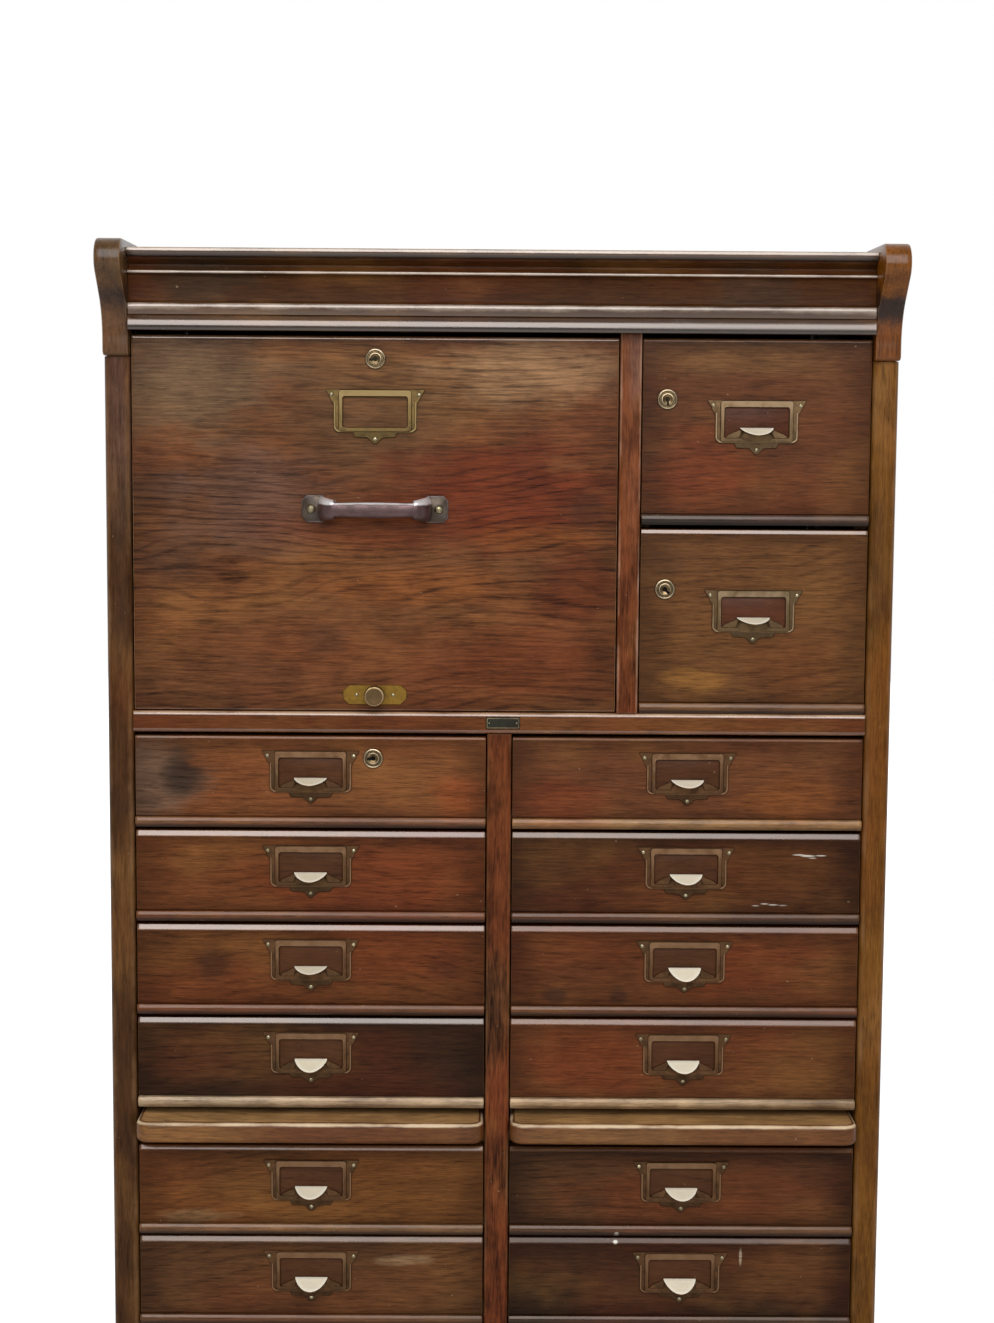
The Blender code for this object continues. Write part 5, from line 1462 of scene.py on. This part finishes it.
def placePull(name, node, body, brass, card=None, tilt=None):
    low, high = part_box(node)
    spot = Vector(((low.x + high.x) / 2, high.y, low.z))
    pile = newPile()
    addLabelFrame(pile)
    if tilt is not None:
        addLip(pile, tilt)
    movePile(pile, spot)
    if card:
        # dark card in the window, its dark tone painted shade cast by the frame
        half, lap = pullSettings["window"][0] / 2, 0.0005
        softBox(pile, (spot.x - half - lap, spot.y - 0.0007, spot.z + windowFoot - lap),
                (spot.x + half + lap, spot.y - 0.0001, spot.z + windowTop + lap), 2, 0.0002)
    makePiece(name, pile, (brass, lipTopPaintedReflection, card or brass), body, (node,))
    earX, edge = pullSettings["width"] / 2 + pullSettings["screwOnEar"], pullSettings["screwFromEdge"]
    face = -pullSettings["plate"] + 0.0001
    spots = [(side * earX, face, pullSettings["height"] - edge) for side in (-1, 1)] + [(0.0, face, edge)]
    addScrews(name + "_screws", [tuple(Vector(point) + spot) for point in spots], pullSettings["screwRadius"],
              pullSettings["screwDome"], pullSettings["slot"], len(name) + int(1000 * abs(spot.z)), body)


lipTilts = {"left": (11, 15, 8, 22, 17, 20, 18, 17), "right": (12, 17, 25, 20, 17, 22, 18, 19)}
for side in sides:
    for row in range(rowCount):
        placePull(f"{side}_label_pull_{row + 1}", f"{side}_pull_{row + 1}", f"{side}_drawer_{row + 1}",
                  flatBrass, flatCardPaintedShade, lipTilts[side][row])
placePull("upper_card_label_pull", "upper_card_pull", "upper_card_drawer", cardBrass, tallCardPaintedShade, 18)
placePull("lower_card_label_pull", "lower_card_pull", "lower_card_drawer", cardBrass, tallCardPaintedShade, 12)
placePull("file_label_holder", "file_label_frame", "file_drawer", labelBrass)
print("pulls made")


# Locks: fixed bezel on the front, turning plug with a keyway and a cam

lockSettings = {
    "radius": 0.0065, "proud": 0.0025, "length": 0.0235, "bezel": 0.0104, "seam": 0.0003,
    "camHalf": 0.005, "camLeast": 0.02, "camFront": 0.021, "camBack": 0.024,
    "keyRound": 0.0020, "keyReach": 0.0060, "keyHalf": 0.0015,
}


def keywayOutline(angle):
    # round head with a slot that runs out to one side
    reach, half = lockSettings["keyReach"], lockSettings["keyHalf"]
    points = [(x, z) for x, z, _ in arcPoints((0.0, 0.0), lockSettings["keyRound"], 32, 328, 10)]
    points += [(reach, -half), (reach, half)]
    c, s = math.cos(math.radians(angle)), math.sin(math.radians(angle))
    return [(x * c - z * s, x * s + z * c, 0.0) for x, z in points]


def buildLock(name, drawerBody, keyAngle):
    node = name + "_plug"
    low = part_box(node)[0]
    centre = lockCentre(name)
    radius, proud, bezel, camHalf = (lockSettings[key] for key in ("radius", "proud", "bezel", "camHalf"))
    pile = newPile()
    profile = ((0.0018 - proud, 0.0006, 0.5), (0.0003 - proud, radius * 0.74, 0.2), (-proud, radius * 0.82, 0.8),
               (0.0001 - proud, radius * 0.92, 0.8), (0.0006 - proud, radius, 0.2), (0.0010, radius, 0.0),
               (0.0010, radius * 0.97, 0.0), (lockSettings["length"], radius * 0.97, 0.0))
    turnedForm(pile, profile, 36)
    # a near-black plate in the keyway's shape, the painted shadow of the key hole
    cutPlate(pile, keywayOutline(keyAngle), None, 0.0020, -0.0001 - proud, 1, 0.0002)
    # the cam reaches left or down, as its solid does
    camX, camZ = (value if value < -lockSettings["camLeast"] else -camHalf
                  for value in (low.x - centre.x, low.z - centre.z))
    softBox(pile, (camX, lockSettings["camFront"], camZ), (camHalf, lockSettings["camBack"], camHalf), 0, 0.0006)
    movePile(pile, centre)
    makePiece(node, pile, (lockBrass, keywayShadowAndNailIron), name, (node,))
    pile = newPile()
    hole = radius + lockSettings["seam"]
    profile = ((0.0, bezel, 0.0), (-0.0012, bezel, 0.2), (-0.0021, bezel - 0.0006, 0.7),
               (-0.0024, bezel - 0.0014, 0.9), (-0.0021, bezel - 0.0021, 0.6), (-0.0014, bezel - 0.0026, 0.0),
               (-0.0014, hole, 0.0), (0.0, hole, 0.0))
    bm = newMesh()
    rings = turnedRings(bm, profile, 40)
    bridgeRings(bm, rings + [rings[0]])
    addMesh(pile, bm)
    movePile(pile, centre)
    makePiece(name + "_bezel", pile, (lockBrass,), drawerBody, ())


buildLock("file_lock", "file_drawer", 190)
buildLock("flat_lock", "left_drawer_1", 185)
buildLock("upper_card_lock", "upper_card_drawer", 275)
buildLock("lower_card_lock", "lower_card_drawer", 315)


# Bar handle

handleSettings = {
    "footWidth": 0.0215, "footHeight": 0.027, "footThick": 0.004, "footOut": 0.012, "clip": 0.0050, "spacing": 0.124,
    "barTall": 0.0162, "barDeep": 0.0130, "endTall": 0.0142, "endDeep": 0.0110, "endIn": 0.0240,
    "barOut": 0.0253, "bow": 0.0012, "barFullness": 0.62, "armFullness": 0.85,
    "screwRadius": 0.0047, "screwDome": 0.0040, "slot": 0.0004, "screwOut": 0.0025,
}


def handlePath(half):
    # from the left foot to the right foot: place, forward, height and depth of the section
    endTall, endDeep = handleSettings["endTall"], handleSettings["endDeep"]
    arm = [(half - 0.0085, 0.0015, 0.0252, 0.0085), (half - 0.0090, 0.0075, 0.0250, 0.0088),
           (half - 0.0108, 0.0150, 0.0242, 0.0100), (half - 0.0145, 0.0207, 0.0226, 0.0116),
           (half - 0.0188, 0.0238, 0.0206, 0.0124), (half - 0.0222, 0.0250, 0.0190, 0.0122),
           (half - 0.0230, 0.0252, 0.0148, 0.0110)]
    path = [(-x, y, tall, deep) for x, y, tall, deep in arm]
    steps = 12
    for i in range(1, steps):
        along = -1 + 2 * i / steps
        swell = 1 - along * along
        path.append((along * (half - handleSettings["endIn"]),
                     handleSettings["barOut"] + handleSettings["bow"] * swell,
                     endTall + (handleSettings["barTall"] - endTall) * swell,
                     endDeep + (handleSettings["barDeep"] - endDeep) * swell))
    return path + arm[::-1]


def buildHandle():
    low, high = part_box("bar_handle")
    centre = Vector(((low.x + high.x) / 2, high.y, (low.z + high.z) / 2))
    half, width = handleSettings["spacing"] / 2, handleSettings["footWidth"]
    tall, clip, thick = handleSettings["footHeight"] / 2, handleSettings["clip"], handleSettings["footThick"]
    pile = newPile()
    for hand in (-1, 1):
        foot = [(-width, -tall), (-clip, -tall), (0.0, clip - tall), (0.0, tall - clip), (-clip, tall), (-width, tall)]
        foot = [(hand * (half + handleSettings["footOut"] + x), z, 0.0) for x, z in foot]
        cutPlate(pile, foot, None, 0.0, -thick, 1, 0.0016, rubAndShade=0.8)
    path = handlePath(half)
    bm = newMesh()
    rings = []
    around = 24
    for i, (x, y, tallHere, deepHere) in enumerate(path):
        ahead = aheadOf(path, i)
        across = Vector((-ahead.y, ahead.x)).normalized()
        fullness = handleSettings["barFullness" if abs(x) < half - 0.02 else "armFullness"]
        onArm = abs(x) > half - 0.0226
        spots, wearAndPaintedLight = [], []
        for k in range(around):
            angle = 2 * math.pi * k / around
            c, s = math.cos(angle), math.sin(angle)
            u = math.copysign(abs(c) ** fullness, c) * deepHere / 2
            v = math.copysign(abs(s) ** fullness, s) * tallHere / 2
            spots.append((x + across.x * u, -(y + across.y * u), v))
            # the top of the bar and of the arms gets a near-white painted highlight
            wearAndPaintedLight.append(1.0 if 0.55 < s < 0.95 or (onArm and s > 0.35) else 0.1)
        rings.append(addRing(bm, spots, wearAndPaintedLight))
    closeTube(bm, rings)
    addMesh(pile, bm)
    movePile(pile, centre)
    makePiece("drawer_bar_handle", pile, (darkBronzePaintedHighlight, footBronze), "file_drawer", ("bar_handle",), 45)
    spots = [Vector((side * (half + handleSettings["screwOut"]), 0.0002 - thick, 0.0)) + centre for side in (-1, 1)]
    addScrews("bar_handle_screws", [tuple(spot) for spot in spots], handleSettings["screwRadius"],
              handleSettings["screwDome"], handleSettings["slot"], 5, "file_drawer")


buildHandle()


# Guide rod with its knob, the plate round it and the follower block

rodSettings = {"rod": 0.004, "knob": 0.0105, "knobLength": 0.011, "neck": 0.0065, "neckLength": 0.004, "tip": 0.0006}
rodPlateSettings = {
    "clip": 0.006, "hole": 0.0043,
    "screwOut": 0.0185, "screwRadius": 0.0021, "screwDome": 0.0014, "slot": 0.0005,
}


def buildRod():
    low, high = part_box("guide_rod")
    front, knob, rod, neck, tip = low.y, *(rodSettings[key] for key in ("knob", "rod", "neck", "tip"))
    back = front + rodSettings["knobLength"]
    neckEnd = back + rodSettings["neckLength"]
    pile = newPile()
    turnedForm(pile, ((front + 0.0004, 0.002, 0.0), (front + 0.0002, knob - 0.0040, 0.0), (front, knob - 0.0022, 0.4),
                      (front + 0.0003, knob - 0.0010, 0.9), (front + 0.0013, knob - 0.0002, 0.9),
                      (front + 0.0024, knob, 0.3), (back - 0.003, knob, 0.0), (back - 0.0008, knob - 0.0008, 0.0),
                      (back, knob - 0.0025, 0.0), (back + 0.0005, neck, 0.0), (neckEnd - 0.0002, neck, 0.0),
                      (neckEnd, rod, 0.0), (high.y - tip, rod, 0.0), (high.y, rod - tip, 0.0)), 40)
    movePile(pile, Vector(((low.x + high.x) / 2, 0.0, (low.z + high.z) / 2)))
    makePiece("guide_rod_and_knob", pile, (knobBrass,), "guide_rod", ("guide_rod",))


def buildRodPlate():
    low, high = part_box("rod_plate")
    x, z = (low.x + high.x) / 2, (low.z + high.z) / 2
    half, tall, clip = (high.x - low.x) / 2, (high.z - low.z) / 2, rodPlateSettings["clip"]
    outline = [(half, tall - clip), (half - clip, tall), (clip - half, tall), (-half, tall - clip),
               (-half, clip - tall), (clip - half, -tall), (half - clip, -tall), (half, clip - tall)]
    hole = [(u, v, 0.0) for u, v in circleSpots(rodPlateSettings["hole"], 28)]
    pile = newPile()
    cutPlate(pile, [(u, v, 0.0) for u, v in outline], hole, high.y, low.y, 0, 0.0005, Matrix.Translation((x, 0.0, z)))
    makePiece("rod_lozenge_plate", pile, (plateBrass,), "file_drawer", ("rod_plate",))
    spots = [(x + side * rodPlateSettings["screwOut"], low.y + 0.0001, z) for side in (-1, 1)]
    addScrews("rod_plate_screws", spots, rodPlateSettings["screwRadius"], rodPlateSettings["screwDome"],
              rodPlateSettings["slot"], 11, "file_drawer")


followerSettings = {"depth": 0.075, "plate": 0.014, "lean": 0.030, "foot": 0.028, "seam": 0.0005, "round": 0.0015}


def buildFollower():
    low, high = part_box("follower_block")
    plate, lean, rounding = (followerSettings[key] for key in ("plate", "lean", "round"))
    front, foot = high.y - followerSettings["depth"], low.z + followerSettings["foot"]
    pile = newPile()
    softBox(pile, (low.x, front, low.z), (high.x, high.y, foot), 0, rounding)
    leaning = [(front + followerSettings["seam"], foot, 0.0), (front + lean + plate, foot, 0.0),
               (front + lean + plate, foot + plate, 0.0), (front + lean * 1.5 + plate, high.z, 0.0),
               (front + lean * 1.5, high.z, 0.0)]
    sweepOutline(pile, leaning, low.x, high.x, "x", rounding)
    makePiece("follower_rest", pile, (boxOakX,), "follower", ("follower_block",))


buildRod()
buildRodPlate()
buildFollower()
print("handle, rod and follower made")


# Floor, light and camera

stageSettings = {
    "floor": 16.0, "floorTone": (208, 207, 205),
    "skyBehind": 1.0, "skyFront": 0.28,
    "glow": 0.75, "near": 0.3, "far": 1.0,          # of the floor behind the cabinet, close to it and far off
    "mirroredFrom": (0.0, 0.7), "seenFrom": (-1.2, 0.7), "farFrom": (0.9, 2.8),
}


def buildStage():
    mesh = bpy.data.meshes.new("floor")
    half = stageSettings["floor"] / 2
    mesh.from_pydata([(-half, -half, 0), (half, -half, 0), (half, half, 0), (-half, half, 0)], [], [(0, 1, 2, 3)])
    floor = newObject("floor", mesh)
    finish, tree, shader = newFinish("pale_floor")
    setSockets(shader, {"Base Color": tone(*stageSettings["floorTone"]), "Roughness": 0.8, "Specular IOR Level": 0.1,
                        "Emission Color": (1.0, 1.0, 1.0, 1.0)})
    # white behind the cabinet, for what is seen and mirrored
    glow, near = stageSettings["glow"], stageSettings["near"]
    path = put(tree, "ShaderNodeLightPath").outputs
    home = put(tree, "ShaderNodeTexCoord").outputs["Object"]
    behind = put(tree, "ShaderNodeSeparateXYZ", {0: home}).outputs["Y"]
    away = vectorSums(tree, "LENGTH", home, output="Value")
    mirrored = sums(tree, "MAXIMUM", path["Is Glossy Ray"], path["Is Transmission Ray"])
    mirrored = times(tree, mirrored, spread(tree, behind, *stageSettings["mirroredFrom"], 0.0, glow))
    seen = sums(tree, "MAXIMUM", spread(tree, behind, *stageSettings["seenFrom"], near, glow),
                spread(tree, away, *stageSettings["farFrom"], near, stageSettings["far"]))
    seen = times(tree, path["Is Camera Ray"], seen)
    tree.links.new(sums(tree, "MAXIMUM", mirrored, seen), shader.inputs["Emission Strength"])
    mesh.materials.append(finish)


def buildSky():
    # white behind the cabinet, dimmer in front of it
    world = bpy.data.worlds.new("soft_sky")
    bpy.context.scene.world = world
    world.use_nodes = True
    tree = world.node_tree
    shade = tree.nodes["Background"]
    way = put(tree, "ShaderNodeSeparateXYZ", {0: put(tree, "ShaderNodeTexCoord").outputs["Generated"]})
    level = spread(tree, way.outputs["Y"], -0.3, 0.7, stageSettings["skyFront"], stageSettings["skyBehind"])
    seen = put(tree, "ShaderNodeLightPath").outputs["Is Camera Ray"]
    tree.links.new(sums(tree, "MAXIMUM", level, seen), shade.inputs["Strength"])
    shade.inputs["Color"].default_value = (1.0, 1.0, 1.0, 1.0)


lampSettings = {
    "at": (0.0, -3.7, 3.05), "aim": (0.0, -0.2, 0.85), "size": (3.6, 3.2),
    "power": 160.0, "tone": (0.96, 0.97, 1.0),
}


def buildLamp():
    data = bpy.data.lights.new("softbox", "AREA")
    data.shape = "RECTANGLE"
    data.size, data.size_y = lampSettings["size"]
    data.energy, data.color = lampSettings["power"], lampSettings["tone"]
    lamp = newObject("softbox", data)
    lamp.location = lampSettings["at"]
    lamp.visible_camera = False
    way = Vector(lampSettings["aim"]) - Vector(lampSettings["at"])
    lamp.rotation_euler = way.to_track_quat("-Z", "Y").to_euler()


cameraSettings = {
    "at": (-0.0161, -0.1955 - 2.2, 1.25),
    "pitch": -5.808, "yaw": 0.337, "roll": 0.397,          # degrees
    "focal": 2174.1, "shift": -21.4, "tall": 1323,         # pixels of a 994 by 1323 picture
    "sensor": 36.0,
}


def buildCamera():
    data = bpy.data.cameras.new("camera")
    data.sensor_width = cameraSettings["sensor"]
    data.lens = cameraSettings["focal"] * cameraSettings["sensor"] / cameraSettings["tall"]
    data.shift_y = cameraSettings["shift"] / cameraSettings["tall"]
    pitch, yaw, roll = (math.radians(cameraSettings[key]) for key in ("pitch", "yaw", "roll"))
    ahead = Vector((math.sin(yaw) * math.cos(pitch), math.cos(yaw) * math.cos(pitch), math.sin(pitch)))
    right = Vector((math.cos(yaw), -math.sin(yaw), 0.0))
    up = right.cross(ahead)
    tilted = right * math.cos(roll) + up * math.sin(roll)
    upright = up * math.cos(roll) - right * math.sin(roll)
    matrix = Matrix((tilted, upright, -ahead)).transposed().to_4x4()
    matrix.translation = cameraSettings["at"]
    camera = newObject("camera", data)
    camera.matrix_world = matrix
    bpy.context.scene.camera = camera


buildStage()
buildSky()
buildLamp()
buildCamera()
bpy.context.scene.view_settings.view_transform = "Standard"
print("stage, light and camera made")
